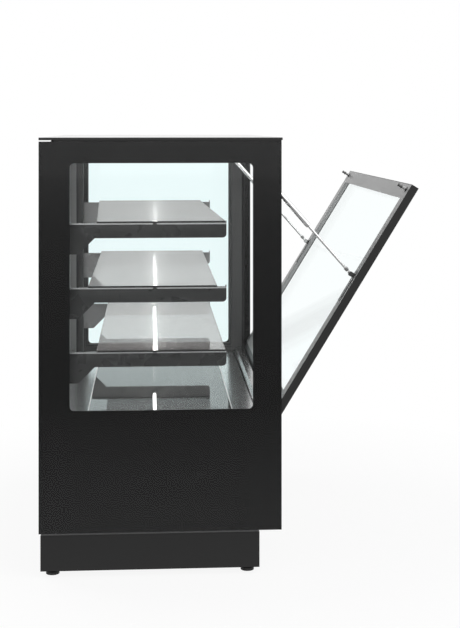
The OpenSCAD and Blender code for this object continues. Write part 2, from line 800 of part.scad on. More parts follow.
// The struts' two ends: the upper ball is fixed, the lower one goes with the open door
top_ball = [frame_y + strut_top_back, canopy_z - strut_top_drop];
low_ball = [hinge_y - strut_on_door * sin(door_open) + (door_t / 2 + ball_up) * cos(door_open),
    hinge_z + strut_on_door * cos(door_open) + (door_t / 2 + ball_up) * sin(door_open)];
strut_len = norm(low_ball - top_ball);
strut_turn = atan2(top_ball.x - low_ball.x, top_ball.y - low_ball.y);
shut_len = norm([ball_y, ball_z] - top_ball);
strut_tube_len = shut_len * strut_tube_share;
strut_rod_len = shut_len * strut_rod_share;

ball_r = 5;
ball_play = 0.35;
mount_t = 3;
mount_w = 26;
mount_foot = 8;
stud_r = 3;
gland_len = 10;
tube_wall = 1.5;
neck_r = 4.2;
piston_len = 12;
neck_up = 10;
fitting_len = 20;
fitting_r = 7;

module strut_top_mounts() color("#6a6c6f") both_sides() {
    plate_x = strut_x + eye_w + mount_t;
    block([plate_x, top_ball.x - mount_w / 2, top_ball.y - eye_r],
        [plate_x + mount_t, top_ball.x + mount_w / 2, canopy_z]);
    block([plate_x, top_ball.x - mount_w / 2, canopy_z - mount_t],
        [plate_x + mount_foot, top_ball.x + mount_w / 2, canopy_z]);
    bar_x(strut_x, plate_x, top_ball.x, top_ball.y, stud_r);
    translate([strut_x, top_ball.x, top_ball.y]) sphere(ball_r);
}

// A strut drawn straight down from its upper ball, then turned to the open door
module strut_place(side)
    translate([side * strut_x, top_ball.x, top_ball.y]) rotate([-strut_turn, 0, 0]) children();

module strut_tube(side) color("#a8aaac") strut_place(side) difference() {
    union() {
        bar_x(-eye_w / 2, eye_w / 2, 0, 0, eye_r);
        bar_z(0, 0, -eye_w - fitting_r, 0, eye_w / 2);
        bar_z(0, 0, -strut_tube_len, -eye_w - fitting_r, strut_tube_r);
    }
    bar_x(-eye_w, eye_w, 0, 0, ball_r + ball_play);
    bar_z(0, 0, -strut_tube_len + gland_len, -eye_w - fitting_r - tube_wall, strut_tube_r - tube_wall);
    bar_z(0, 0, -strut_tube_len - cut, -strut_tube_len + gland_len + cut, strut_rod_r + shaft_fit);
}
module left_strut_tube() strut_tube(-1);
module right_strut_tube() strut_tube(1);

module strut_rod(side) strut_place(side) {
    color("#c9cbcd") bar_z(0, 0, -strut_len, -strut_len + strut_rod_len, strut_rod_r);
    color("#c9cbcd") bar_z(0, 0, -strut_len + strut_rod_len - piston_len, -strut_len + strut_rod_len,
        strut_tube_r - tube_wall - fit);
    color("#55575a") bar_x(-eye_w / 2, eye_w / 2, 0, -strut_len, eye_r);
    color("#55575a") bar_z(0, 0, -strut_len + neck_up, -strut_len + fitting_len, neck_r);
}
module left_strut_rod() strut_rod(-1);
module right_strut_rod() strut_rod(1);

// Cooling plant

comp_in = 300;
comp_y = rear_y - comp_in;
comp_feet_w = 190;
comp_feet_d = 130;
comp_feet_t = 4;
grommet_r = 11;
grommet_h = 14;
seam_r = 3;
seam_h = 6;
dome_share = 1.22;
stub_r = 5;
stub_len = 26;
stub_side = 27;
stub_up = 37;
term_w = 60;
term_h = 56;
term_d = 24;
pan_top = base_z + pan_t;
comp_foot_z = pan_top + grommet_h;
comp_mid_z = comp_foot_z + comp_feet_t + comp_h / 2;

module compressor() {
    color("#1f2022") translate([comp_x, comp_y, comp_mid_z]) {
        intersection() {
            translate([0, 0, -comp_h / 2]) cylinder(r = comp_r, h = comp_h);
            sphere(comp_r * dome_share);
        }
        translate([0, 0, -seam_h / 2]) cylinder(r = comp_r + seam_r, h = seam_h);
        block([-comp_feet_w / 2, -comp_feet_d / 2, -comp_h / 2 - comp_feet_t],
            [comp_feet_w / 2, comp_feet_d / 2, -comp_h / 2]);
        block([comp_r - term_d, -term_w / 2, -term_h / 2], [comp_r + term_d, term_w / 2, term_h / 2]);
        for (x = [-stub_side, stub_side]) bar_y(x, 0, comp_r + stub_len, stub_up, stub_r);
    }
    color("#303032") for (x = [-1, 1], y = [-1, 1])
        bar_z(comp_x + x * (comp_feet_w / 2 - grommet_r), comp_y + y * (comp_feet_d / 2 - grommet_r),
            pan_top, comp_foot_z - fit, grommet_r);
}

cond_side_in = 300;
cond_x = cond_side_in - half_w;
cond_d = 40;
cond_back = 8;
cond_y1 = back_y - cond_back;
cond_y0 = cond_y1 - cond_d;
fin_t = 1;
fin_pitch = 12;
coil_r = 5;
coil_rows = 5;
coil_columns = 2;

// A finned coil between two corners: upright fins along X, tubes through them and an end plate each side
module coil(low, high, pitch, rows, columns) {
    size = high - low;
    count = floor(size.x / pitch);
    for (i = [0 : count]) block([low.x + (size.x - fin_t) * i / count, low.y, low.z],
        [low.x + (size.x - fin_t) * i / count + fin_t, high.y, high.z]);
    for (r = [1 : rows], c = [1 : columns]) bar_x(low.x - coil_r, high.x + coil_r,
        low.y + size.y * c / (columns + 1), low.z + size.z * r / (rows + 1), coil_r);
}

module condenser_coil() color("#6f7173")
    coil([cond_x - cond_w / 2, cond_y0, pan_top], [cond_x + cond_w / 2, cond_y1, pan_top + cond_h],
        fin_pitch, coil_rows, coil_columns);

shroud_d = 44;
shroud_t = 2;
fan_play = 4;
cond_fan_z = pan_top + cond_h / 2;
shroud_y0 = cond_y0 - shroud_d;
motor_r = 26;
motor_d = 34;
fan_d = 22;
fan_hub_r = 18;
fan_shaft_r = 3;
spoke_w = 10;
spoke_sink = 3;
fan_gap = 4;
motor_y1 = shroud_y0 - fan_gap;

// The shroud on the coil, and the fan's motor on its spokes
module fan_shroud() {
    color("#2e2f31") difference() {
        block([cond_x - cond_w / 2, shroud_y0, pan_top], [cond_x + cond_w / 2, cond_y0, pan_top + cond_h]);
        block([cond_x - cond_w / 2 + shroud_t, shroud_y0 + shroud_t, pan_top + shroud_t],
            [cond_x + cond_w / 2 - shroud_t, cond_y0 + cut, pan_top + cond_h - shroud_t]);
        bar_y(cond_x, shroud_y0 - cut, shroud_y0 + shroud_t + cut, cond_fan_z, cond_fan_r + fan_play);
    }
    color("#45474a") {
        difference() {
            bar_y(cond_x, motor_y1 - motor_d, motor_y1, cond_fan_z, motor_r);
            bar_y(cond_x, motor_y1 - motor_d / 2, motor_y1 + cut, cond_fan_z, fan_shaft_r + shaft_fit);
        }
        for (x = [-1, 1]) {
            far = cond_x + x * (cond_fan_r + fan_play + spoke_w);
            near = cond_x + x * (motor_r - spoke_sink);
            block([min(near, far), motor_y1 - motor_d, cond_fan_z - spoke_w / 2],
                [max(near, far), motor_y1 - motor_d + shroud_t, cond_fan_z + spoke_w / 2]);
            block([far - spoke_w / 2, motor_y1 - motor_d, cond_fan_z - spoke_w / 2],
                [far + spoke_w / 2, shroud_y0 - fit, cond_fan_z + spoke_w / 2]);
        }
    }
}

blade_pitch = 28;
blade_t = 2;
blade_root_share = 0.8;
blade_side_share = 0.33;
blade_count = 5;

// A fan about an axis along Y: hub, tilted blades and the shaft that its motor turns
module fan(r, hub_r, depth, shaft_len) {
    bar_y(0, 0, depth, 0, hub_r);
    bar_y(0, -shaft_len, 0, 0, fan_shaft_r);
    for (i = [0 : blade_count - 1]) rotate([0, i * 360 / blade_count, 0]) intersection() {
        translate([hub_r * blade_root_share, depth / 2, 0]) rotate([blade_pitch, 0, 0])
            block([0, -blade_t / 2, -r * blade_side_share], [r, blade_t / 2, r * blade_side_share]);
        difference() {
            bar_y(0, 0, depth, 0, r);
            bar_y(0, -cut, depth + cut, 0, hub_r * blade_root_share);
        }
    }
}
module condenser_fan() color("#3a3b3d")
    translate([cond_x, shroud_y0, cond_fan_z]) fan(cond_fan_r, fan_hub_r, fan_d, motor_d / 2);

drier_r = 12;
drier_len = 90;
drier_x = drain_x;
pipe_r = 4;
suction_r = 5.5;
plant_z = comp_mid_z + stub_up;
over_z = (comp_mid_z + comp_h / 2 + tub_z) / 2;
stub_end_y = comp_y + comp_r + stub_len;
drier_y = stub_end_y;
cond_out_x = cond_x + cond_w / 2 + coil_r;
cond_out_y = cond_y0 + cond_d / (coil_columns + 1);
cond_top_z = pan_top + cond_h * coil_rows / (coil_rows + 1);
cond_low_z = pan_top + cond_h / (coil_rows + 1);
evap_end_x = evap_w / 2 + coil_r;

// Discharge line, liquid line with its drier, and suction line
module refrigerant_pipes() {
    discharge_x = comp_x - stub_side;
    suction_x = comp_x + stub_side;
    run_y = (stub_end_y + cond_y0) / 2;
    turn_x = cond_out_x + drier_len;
    color("#b87346") {
        pipe([[discharge_x, stub_end_y, plant_z], [discharge_x, run_y, plant_z],
            [discharge_x, run_y, cond_top_z], [turn_x, run_y, cond_top_z], [turn_x, cond_out_y, cond_top_z],
            [cond_out_x, cond_out_y, cond_top_z]], pipe_r);
        pipe([[cond_out_x, cond_out_y, cond_low_z], [turn_x, cond_out_y, cond_low_z],
            [turn_x, drier_y, cond_low_z], [drier_x, drier_y, cond_low_z]], pipe_r);
        bar_x(drier_x, drier_x + drier_len, drier_y, cond_low_z, drier_r);
        pipe([[suction_x, stub_end_y, plant_z], [suction_x, run_y, plant_z], [suction_x, run_y, over_z],
            [pipe_x, run_y, over_z], [pipe_x, pipe_y, over_z], [pipe_x, pipe_y, evap_mid_z],
            [evap_end_x, pipe_y, evap_mid_z]], suction_r);
    }
}

evap_h = 70;
evap_d = 120;
evap_y0 = pipe_y - evap_d / 2;
evap_z = cavity_z;
evap_rows = 2;
evap_columns = 3;
evap_mid_z = evap_z + evap_h * evap_rows / (evap_rows + 1);
evap_pitch = 20;

module evaporator_coil() color("#a9abad")
    coil([-evap_w / 2, evap_y0, evap_z], [evap_w / 2, evap_y0 + evap_d, evap_z + evap_h],
        evap_pitch, evap_rows, evap_columns);

tray_t = 2;
tray_gap = 60;
tray_y = evap_y0 - tray_gap;
evap_fan_x = 200;
evap_fan_z = cavity_z + (rim_z - cavity_z) / 2;
evap_motor_r = 15;
evap_motor_d = 24;
evap_fan_d = 16;
evap_hub_r = 12;

// An upright plate across the well with two fan openings, and a motor on spokes behind each
module evaporator_fan_tray() {
    motor_end = tray_y - fan_gap;
    color("#b4b6b8") difference() {
        block([-cavity_x, tray_y, cavity_z], [cavity_x, tray_y + tray_t, rim_z]);
        for (x = [-evap_fan_x, evap_fan_x])
            bar_y(x, tray_y - cut, tray_y + tray_t + cut, evap_fan_z, evap_fan_r + fan_play);
    }
    color("#45474a") for (x = [-evap_fan_x, evap_fan_x]) {
        difference() {
            bar_y(x, motor_end - evap_motor_d, motor_end, evap_fan_z, evap_motor_r);
            bar_y(x, motor_end - evap_motor_d / 2, motor_end + cut, evap_fan_z, fan_shaft_r + shaft_fit);
        }
        for (side = [-1, 1]) {
            far = x + side * (evap_fan_r + fan_play + spoke_w);
            near = x + side * (evap_motor_r - spoke_sink);
            block([min(near, far), motor_end - evap_motor_d, evap_fan_z - spoke_w / 2],
                [max(near, far), motor_end - evap_motor_d + tray_t, evap_fan_z + spoke_w / 2]);
            block([far - spoke_w / 2, motor_end - evap_motor_d, evap_fan_z - spoke_w / 2],
                [far + spoke_w / 2, tray_y - fit, evap_fan_z + spoke_w / 2]);
        }
    }
}
module evaporator_fan(x) color("#3a3b3d")
    translate([x, tray_y, evap_fan_z]) fan(evap_fan_r, evap_hub_r, evap_fan_d, evap_motor_d / 2);
module left_evaporator_fan() evaporator_fan(-evap_fan_x);
module right_evaporator_fan() evaporator_fan(evap_fan_x);

water_pan_w = 220;
water_pan_d = 170;
water_pan_h = 44;
water_pan_t = 2;

module evaporation_pan() color("#7d7f81") difference() {
    inner_w = water_pan_w / 2 - water_pan_t;
    inner_d = water_pan_d / 2 - water_pan_t;
    block([drain_x - water_pan_w / 2, drain_y - water_pan_d / 2, pan_top],
        [drain_x + water_pan_w / 2, drain_y + water_pan_d / 2, pan_top + water_pan_h]);
    block([drain_x - inner_w, drain_y - inner_d, pan_top + water_pan_t],
        [drain_x + inner_w, drain_y + inner_d, pan_top + water_pan_h + cut]);
}

// Electrical parts in the service panel

box_w = 84;
box_d = 60;
box_h = 90;
box_side_in = 130;
box_x = half_w - box_side_in;
box_wall = 2.5;
inlet_w = 27;
inlet_h = 20;
inlet_d = 22;
inlet_x = box_x + box_w / 4;
inlet_z = pan_top + box_h / 2;
inlet_lip = 4;
inlet_lip_t = 2.5;
inlet_wall = 3;
blade_pin_w = 4;
blade_pin_t = 2;
blade_pin_len = 14;
rocker_w = 14;
rocker_h = 22;
rocker_x = box_x - box_w / 4;
rocker_r = 13;
rocker_room = 1;
rocker_out = 2.5;
rocker_tilt = 8;
rocker_y = back_y + service_t;

module electrical_box() color("#d0d0cc") difference() {
    block([box_x - box_w / 2, back_y - box_d, pan_top], [box_x + box_w / 2, back_y, pan_top + box_h]);
    block([box_x - box_w / 2 + box_wall, back_y - box_d + box_wall, pan_top + box_wall],
        [box_x + box_w / 2 - box_wall, back_y - box_wall, pan_top + box_h - box_wall]);
    block([inlet_x - inlet_w / 2 - fit, back_y - box_wall - cut, inlet_z - inlet_h / 2 - fit],
        [inlet_x + inlet_w / 2 + fit, back_y + cut, inlet_z + inlet_h / 2 + fit]);
    block([rocker_x - rocker_w / 2 - fit, back_y - box_wall - cut, inlet_z - rocker_h / 2 - rocker_room],
        [rocker_x + rocker_w / 2 + fit, back_y + cut, inlet_z + rocker_h / 2 + rocker_room]);
}

module power_inlet() {
    face_y = back_y + service_t + inlet_lip_t;
    flange_w = inlet_w / 2 + inlet_lip;
    flange_h = inlet_h / 2 + inlet_lip;
    mouth_w = inlet_w / 2 - inlet_wall;
    mouth_h = inlet_h / 2 - inlet_wall;
    color("#1b1b1d") difference() {
        union() {
            block([inlet_x - inlet_w / 2, face_y - inlet_d, inlet_z - inlet_h / 2],
                [inlet_x + inlet_w / 2, face_y, inlet_z + inlet_h / 2]);
            block([inlet_x - flange_w, back_y + service_t, inlet_z - flange_h],
                [inlet_x + flange_w, face_y, inlet_z + flange_h]);
        }
        block([inlet_x - mouth_w, face_y - inlet_d + inlet_wall, inlet_z - mouth_h],
            [inlet_x + mouth_w, face_y + cut, inlet_z + mouth_h]);
    }
    color("#c9a85c") for (pin = [-1, 0, 1]) {
        x = inlet_x + pin * inlet_w / 4;
        y = face_y - inlet_d + inlet_wall;
        z = pin == 0 ? inlet_z + blade_pin_w / 2 : inlet_z - blade_pin_w;
        block([x - blade_pin_t / 2, y, z], [x + blade_pin_t / 2, y + blade_pin_len, z + blade_pin_w]);
    }
}

// A rocker whose face is two planes that meet at its pivot's height, pressed in at its lower end
module light_rocker() color("#232325")
    translate([rocker_x, rocker_y - rocker_r, inlet_z]) rotate([rocker_tilt, 0, 0]) intersection() {
        bar_x(-rocker_w / 2, rocker_w / 2, 0, 0, rocker_r + rocker_out);
        slab_x(-rocker_w / 2, rocker_w / 2) polygon([[0, 0], [rocker_r, rocker_h / 2],
            [rocker_r + rocker_out, rocker_h / 2], [rocker_r - rocker_out, 0],
            [rocker_r + rocker_out, -rocker_h / 2], [rocker_r, -rocker_h / 2]]);
}

ctrl_w = 71;
ctrl_h = 29;
ctrl_d = 46;
ctrl_lip = 3.5;
ctrl_lip_t = 4;
ctrl_side_in = 300;
ctrl_x = half_w - ctrl_side_in;
ctrl_down = 34;
ctrl_z = tub_z - ctrl_down;
ctrl_wall = 2;
screen_w = 34;
screen_h = 16;
screen_depth = 1;
button_r = 4;
button_len = 8;
button_travel = 1;
button_out = 1.4;
button_in = 5.5;
button_step = 11;
ctrl_face_y = back_y + service_t + ctrl_lip_t;
button_x = [for (i = [0 : 2]) ctrl_x + ctrl_w / 2 - button_in - button_step * i];

module controller() color("#1c1c1e") difference() {
    union() {
        block([ctrl_x - ctrl_w / 2, back_y - ctrl_d, ctrl_z - ctrl_h / 2],
            [ctrl_x + ctrl_w / 2, ctrl_face_y, ctrl_z + ctrl_h / 2]);
        block([ctrl_x - ctrl_w / 2 - ctrl_lip, back_y + service_t, ctrl_z - ctrl_h / 2 - ctrl_lip],
            [ctrl_x + ctrl_w / 2 + ctrl_lip, ctrl_face_y, ctrl_z + ctrl_h / 2 + ctrl_lip]);
    }
    block([ctrl_x - ctrl_w / 2 + ctrl_wall, ctrl_face_y - screen_depth, ctrl_z - screen_h / 2],
        [ctrl_x - ctrl_w / 2 + ctrl_wall + screen_w, ctrl_face_y + cut, ctrl_z + screen_h / 2]);
    for (x = button_x)
        bar_y(x, ctrl_face_y - button_len - button_travel, ctrl_face_y + cut, ctrl_z, button_r + fit);
}

module button(i) color("#8f9193")
    bar_y(button_x[i], ctrl_face_y - button_len, ctrl_face_y + button_out, ctrl_z, button_r);
module set_button() button(0);
module up_button() button(1);
module down_button() button(2);

chassis_frame();
plinth_skirt();
levelling_feet();
base_pan();
insulated_tub();
deck_plate();
front_air_grille();
rear_air_grille();
left_side_glass();
right_side_glass();
side_glass_prints();
side_inner_panes();
side_glass_spacers();
side_wall_frames();
canopy();
front_header();
front_sill();
lower_front_panel();
top_glass();
top_glass_tape();
door_gasket();
rear_frame();
rear_service_panel();
slotted_uprights();
shelf_brackets();
upper_glass_shelf();
middle_glass_shelf();
lower_glass_shelf();
light_tubes();
strut_top_mounts();
hinge_blocks();
compressor();
condenser_coil();
fan_shroud();
condenser_fan();
refrigerant_pipes();
evaporator_coil();
evaporator_fan_tray();
left_evaporator_fan();
right_evaporator_fan();
evaporation_pan();
electrical_box();
power_inlet();
controller();
set_button();
up_button();
down_button();
light_rocker();
left_rear_door();
right_rear_door();
left_strut_tube();
left_strut_rod();
right_strut_tube();
right_strut_rod();
door_outer_pane();
door_inner_pane();
door_glass_spacer();
door_border_print();
door_edge_profiles();
door_fittings();
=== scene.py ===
import json
import math

import bmesh
import bpy
from mathutils import Matrix, Vector

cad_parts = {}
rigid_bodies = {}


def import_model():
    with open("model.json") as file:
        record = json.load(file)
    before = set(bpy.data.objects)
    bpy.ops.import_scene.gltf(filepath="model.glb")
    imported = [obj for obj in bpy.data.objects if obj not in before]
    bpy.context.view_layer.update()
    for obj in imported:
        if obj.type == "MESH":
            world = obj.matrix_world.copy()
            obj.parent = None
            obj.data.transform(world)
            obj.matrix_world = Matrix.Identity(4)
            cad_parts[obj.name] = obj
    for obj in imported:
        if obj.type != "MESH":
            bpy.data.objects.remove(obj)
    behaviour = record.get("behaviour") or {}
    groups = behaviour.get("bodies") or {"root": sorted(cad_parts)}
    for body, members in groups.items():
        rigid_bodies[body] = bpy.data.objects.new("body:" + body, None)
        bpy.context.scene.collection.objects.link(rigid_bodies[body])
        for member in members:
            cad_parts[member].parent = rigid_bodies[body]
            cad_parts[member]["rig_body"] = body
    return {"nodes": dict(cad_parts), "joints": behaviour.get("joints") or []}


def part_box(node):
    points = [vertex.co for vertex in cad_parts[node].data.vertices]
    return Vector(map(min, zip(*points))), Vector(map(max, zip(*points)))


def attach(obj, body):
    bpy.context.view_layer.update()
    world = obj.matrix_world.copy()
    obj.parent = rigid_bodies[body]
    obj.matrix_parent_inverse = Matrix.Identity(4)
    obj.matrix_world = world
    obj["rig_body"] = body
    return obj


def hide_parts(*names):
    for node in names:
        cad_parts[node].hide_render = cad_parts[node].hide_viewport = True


# The looks of a refrigerated display counter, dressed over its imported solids. All lengths are in metres.
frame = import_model()
nodes = frame["nodes"]
joints = {joint["name"]: joint for joint in frame["joints"]}
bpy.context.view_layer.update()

# Camera: it stands level at the counter's near side, and the picture is shifted down
IMAGE_LONG_SIDE = 628
FOCAL_PIXELS = 1281.0
HORIZON_PIXEL = 126.2
CAMERA_PLACE = (-4.3995, 0.2419, 1.3334)
CAMERA_YAW = 0.0631
SENSOR = 36.0

# The door's hinge line, the angle it stands open at, and how far out and up it carries the struts' studs
HINGE = Vector(joints["front_door_hinge"]["pos_m"])
DOOR_TILT = math.radians(31.6)
STUD = (0.024, 0.46846)


def make_camera():
    lens = bpy.data.cameras.new("camera")
    lens.sensor_width = SENSOR
    lens.lens = FOCAL_PIXELS / IMAGE_LONG_SIDE * SENSOR
    lens.shift_y = -(IMAGE_LONG_SIDE / 2 - HORIZON_PIXEL) / IMAGE_LONG_SIDE
    camera = bpy.data.objects.new("camera", lens)
    camera.location = CAMERA_PLACE
    camera.rotation_euler = (math.pi / 2, 0, -math.pi / 2 - CAMERA_YAW)
    bpy.context.scene.collection.objects.link(camera)
    bpy.context.scene.camera = camera


# Finishes

GLASS_IOR = 1.5
# The tint of the mirror images in the shelves' and the deck's glass
MIRROR_TINT = (1, 0.9, 0.89, 1)
# Relief of paint, of plastic and rubber, and of brushed metal
PEEL = {"height": 0.00002, "strength": 0.25}
GRAINY = {"height": 0.00003, "strength": 0.4}
BRUSHED = {"height": 0.000004, "strength": 0.3}


class Finish:
    """A material with one Principled shader, and short ways to add patterns in Object coordinates."""

    def __init__(self, name, colour, roughness=0.5, metallic=0.0, **inputs):
        self.material = bpy.data.materials.new(name)
        self.material.use_nodes = True
        self.tree = self.material.node_tree
        self.shader = self.tree.nodes["Principled BSDF"]
        self.output = self.tree.nodes["Material Output"]
        self.shader.inputs["Base Color"].default_value = (*colour, 1)
        self.shader.inputs["Roughness"].default_value = roughness
        self.shader.inputs["Metallic"].default_value = metallic
        for socket, value in inputs.items():
            self.shader.inputs[socket.replace("_", " ")].default_value = value
        self.material.diffuse_color = (*colour, 1)

    def node(self, kind, **inputs):
        node = self.tree.nodes.new(kind)
        for socket, value in inputs.items():
            node.inputs[socket.replace("_", " ")].default_value = value
        return node

    def link(self, source, target):
        self.tree.links.new(source, target)

    def places(self, stretch=(1, 1, 1)):
        """Object coordinates, scaled along each axis."""
        coordinates = self.node("ShaderNodeTexCoord")
        mapping = self.node("ShaderNodeMapping", Scale=stretch)
        self.link(coordinates.outputs["Object"], mapping.inputs["Vector"])
        return mapping.outputs["Vector"]

    def grain(self, scale, detail, stretch=(1, 1, 1)):
        """A cloudy pattern, with its scale and its number of finer layers."""
        noise = self.node("ShaderNodeTexNoise", Scale=scale, Detail=detail)
        self.link(self.places(stretch), noise.inputs["Vector"])
        return noise.outputs["Fac"]

    def between(self, factor, low, high, start=0.3, end=0.7):
        """A number that goes from low to high as a pattern goes from start to end."""
        ramp = self.tree.nodes.new("ShaderNodeMapRange")
        for place, value in enumerate((start, end, low, high), 1):
            ramp.inputs[place].default_value = value
        self.link(factor, ramp.inputs[0])
        return ramp.outputs[0]

    def blend(self, factor, first, second):
        """A colour that goes from the first to the second with a factor."""
        mix = self.tree.nodes.new("ShaderNodeMix")
        mix.data_type = "RGBA"
        mix.inputs[6].default_value = (*first, 1)
        mix.inputs[7].default_value = (*second, 1)
        self.link(factor, mix.inputs[0])
        return mix.outputs[2]

    def colour(self, factor, first, second):
        self.link(self.blend(factor, first, second), self.shader.inputs["Base Color"])
        return self

    def rough(self, factor, low, high):
        self.link(self.between(factor, low, high), self.shader.inputs["Roughness"])
        return self

    def varied(self, cloud, value, roughness, tones, sheens):
        """A grey and a roughness that wander with a pattern, each between two shares of its value."""
        self.colour(cloud, *(shade(value * share) for share in tones))
        return self.rough(cloud, *(roughness * share for share in sheens))

    def maths(self, operation, *values):
        """One step of arithmetic on numbers and sockets."""
        step = self.tree.nodes.new("ShaderNodeMath")
        step.operation = operation
        for place, value in enumerate(values):
            if isinstance(value, bpy.types.NodeSocket):
                self.link(value, step.inputs[place])
            else:
                step.inputs[place].default_value = value
        return step.outputs[0]

    def mixed(self, factor, first, second):
        """A shader that goes from the first to the second with a factor."""
        mix = self.tree.nodes.new("ShaderNodeMixShader")
        for place, source in enumerate((factor, first, second)):
            self.link(source, mix.inputs[place])
        return mix.outputs[0]

    def mirror_share(self, share, cap=1.0):
        """The strength of a glass face's mirror image: a share of what the angle gives, up to a cap."""
        facing = self.node("ShaderNodeNewGeometry")
        strength = self.node("ShaderNodeFresnel")
        index = self.between(facing.outputs["Backfacing"], GLASS_IOR, 1 / GLASS_IOR, 0, 1)
        self.link(index, strength.inputs["IOR"])
        return self.maths("MINIMUM", self.maths("MULTIPLY", strength.outputs["Fac"], share), cap)

    def relief(self, factor, height, strength):
        bump = self.node("ShaderNodeBump", Strength=strength, Distance=height)
        self.link(factor, bump.inputs["Height"])
        self.link(bump.outputs["Normal"], self.shader.inputs["Normal"])
        return self


def shade(value):
    """A neutral grey, as a colour."""
    return (value, value, value)


def powder_coat(name, value, roughness):
    """Paint with a fine orange peel and a slightly uneven sheen."""
    coat = Finish(name, shade(value), roughness)
    coat.varied(coat.grain(scale=14, detail=4), value, roughness, tones=(0.94, 1.07), sheens=(0.93, 1.08))
    return coat.relief(coat.grain(scale=900, detail=2), **PEEL).material


def coat_with_painted_inner_light(name, outer, inner, roughness):
    """Paint with painted light and shade: darker on the faces that look away from the middle than on those
    that look inwards.
    """
    coat = Finish(name, shade(outer), roughness)
    ways = []
    for source in (coat.node("ShaderNodeNewGeometry").outputs["Normal"], coat.places()):
        split = coat.node("ShaderNodeSeparateXYZ")
        coat.link(source, split.inputs[0])
        ways.append(split.outputs["X"])
    # Painted light: faces that look towards the middle get the lighter grey, and faces that look outwards
    # get the darker one, as painted shade
    painted_light_share = coat.between(coat.maths("MULTIPLY", *ways), low=1, high=0, start=-0.3, end=-0.1)
    coat.colour(painted_light_share, shade(outer), shade(inner))
    coat.rough(coat.grain(scale=14, detail=4), low=roughness * 0.93, high=roughness * 1.08)
    return coat.relief(coat.grain(scale=900, detail=2), **PEEL).material


def moulded(name, value, roughness):
    """Moulded plastic with a fine eroded grain."""
    plastic = Finish(name, shade(value), roughness)
    plastic.varied(plastic.grain(scale=30, detail=3), value, roughness, tones=(0.9, 1.1), sheens=(0.9, 1.15))
    return plastic.relief(plastic.grain(scale=1600, detail=2), **GRAINY).material


def brushed(name, value, roughness, along, metallic=1.0):
    """Metal with fine lines that run along one axis."""
    metal = Finish(name, shade(value), roughness, metallic)
    line_stretch = 0.012
    stretch = [line_stretch if axis == along else 1 for axis in "xyz"]
    lines = metal.grain(scale=1400, detail=3, stretch=stretch)
    metal.colour(metal.grain(scale=9, detail=4), shade(value * 0.92), shade(value * 1.07))
    metal.rough(lines, low=roughness * 0.75, high=roughness * 1.3)
    return metal.relief(lines, **BRUSHED).material


def rubber(name, value):
    """Rubber, dull and a little dusty."""
    seal = Finish(name, shade(value), roughness=0.62)
    cloud = seal.grain(scale=60, detail=3)
    seal.colour(cloud, shade(value * 0.8), shade(value * 1.3))
    seal.rough(cloud, low=0.52, high=0.72)
    return seal.relief(seal.grain(scale=1200, detail=2), **GRAINY).material


def enamel(name, value, roughness, **inputs):
    """Enamel printed behind a pane, nearly even."""
    coat = Finish(name, shade(value), roughness, **inputs)
    cloud = coat.grain(scale=5, detail=4)
    return coat.varied(cloud, value, roughness, tones=(0.9, 1.12), sheens=(0.9, 1.15)).material


def clear_pane(name, tint, share):
    """A pane: straight through with a tint, and a mirror image that grows with the angle."""
    pane = Finish(name, tint, roughness=0.1)
    through = pane.node("ShaderNodeBsdfTransparent", Color=(*tint, 1))
    mirror = pane.node("ShaderNodeBsdfGlossy", Color=(1, 1, 1, 1))
    smudges = pane.between(pane.grain(scale=6, detail=4), low=0.0, high=0.02)
    pane.link(smudges, mirror.inputs["Roughness"])
    shown = pane.mixed(pane.mirror_share(share), through.outputs[0], mirror.outputs[0])
    pane.link(shown, pane.output.inputs["Surface"])
    pane.material.use_transparent_shadow = True
    return pane.material


def shelf_pane(name, tint, gloss_cap, film_value, film_range, edge):
    """A shelf's glass: clear, with a pale film on top that shows at a low angle, and dark edges."""
    pane = Finish(name, shade(edge), roughness=0.18)
    pane.colour(pane.grain(scale=80, detail=3), shade(edge), shade(edge * 1.5))
    through = pane.node("ShaderNodeBsdfTransparent", Color=(*tint, 1))
    mirror = pane.node("ShaderNodeBsdfGlossy", Color=MIRROR_TINT, Roughness=0.015)
    cloud = pane.grain(scale=7, detail=5)
    tone = pane.blend(cloud, shade(film_value * 0.95), shade(film_value * 1.05))
    lit, lit_behind = pane.node("ShaderNodeBsdfDiffuse"), pane.node("ShaderNodeBsdfTranslucent")
    lit_behind_share = 0.45
    film = pane.node("ShaderNodeMixShader", Fac=lit_behind_share)
    for place, source in enumerate((lit, lit_behind), 1):
        pane.link(tone, source.inputs["Color"])
        pane.link(source.outputs[0], film.inputs[place])
    normal = pane.node("ShaderNodeNewGeometry")
    split = pane.node("ShaderNodeSeparateXYZ")
    pane.link(normal.outputs["Normal"], split.inputs[0])
    turned = pane.between(normal.outputs["Backfacing"], low=1, high=-1, start=0, end=1)
    outward = pane.maths("MULTIPLY", split.outputs["Z"], turned)
    angle = pane.node("ShaderNodeLayerWeight")
    low_angle = pane.between(angle.outputs["Facing"], *film_range, start=0.72, end=0.91)
    on_top = pane.between(outward, low=0, high=1, start=0.4, end=0.6)
    film_share = pane.maths("MULTIPLY", low_angle, on_top)
    filmed = pane.mixed(film_share, through.outputs[0], film.outputs[0])
    flat = pane.mixed(pane.mirror_share(1.0, gloss_cap), filmed, mirror.outputs[0])
    level = pane.maths("ABSOLUTE", split.outputs["Z"])
    on_edge = pane.between(level, low=1, high=0, start=0.4, end=0.6)
    shown = pane.mixed(on_edge, flat, pane.shader.outputs[0])
    pane.link(shown, pane.output.inputs["Surface"])
    pane.material.use_transparent_shadow = True
    return pane.material


def lamp_diffuser(name, value, strength):
    """Opal plastic with the lamps behind it, a little brighter at each lamp."""
    opal = Finish(name, shade(value), roughness=0.35)
    ripple = opal.node("ShaderNodeTexWave", Scale=30, Distortion=0.0, Detail=0.0)
    opal.link(opal.places(), ripple.inputs["Vector"])
    glow = opal.blend(ripple.outputs["Fac"], first=(0.86, 0.87, 0.86), second=(1, 1, 0.98))
    opal.link(glow, opal.shader.inputs["Emission Color"])
    opal.shader.inputs["Emission Strength"].default_value = strength
    return opal.material


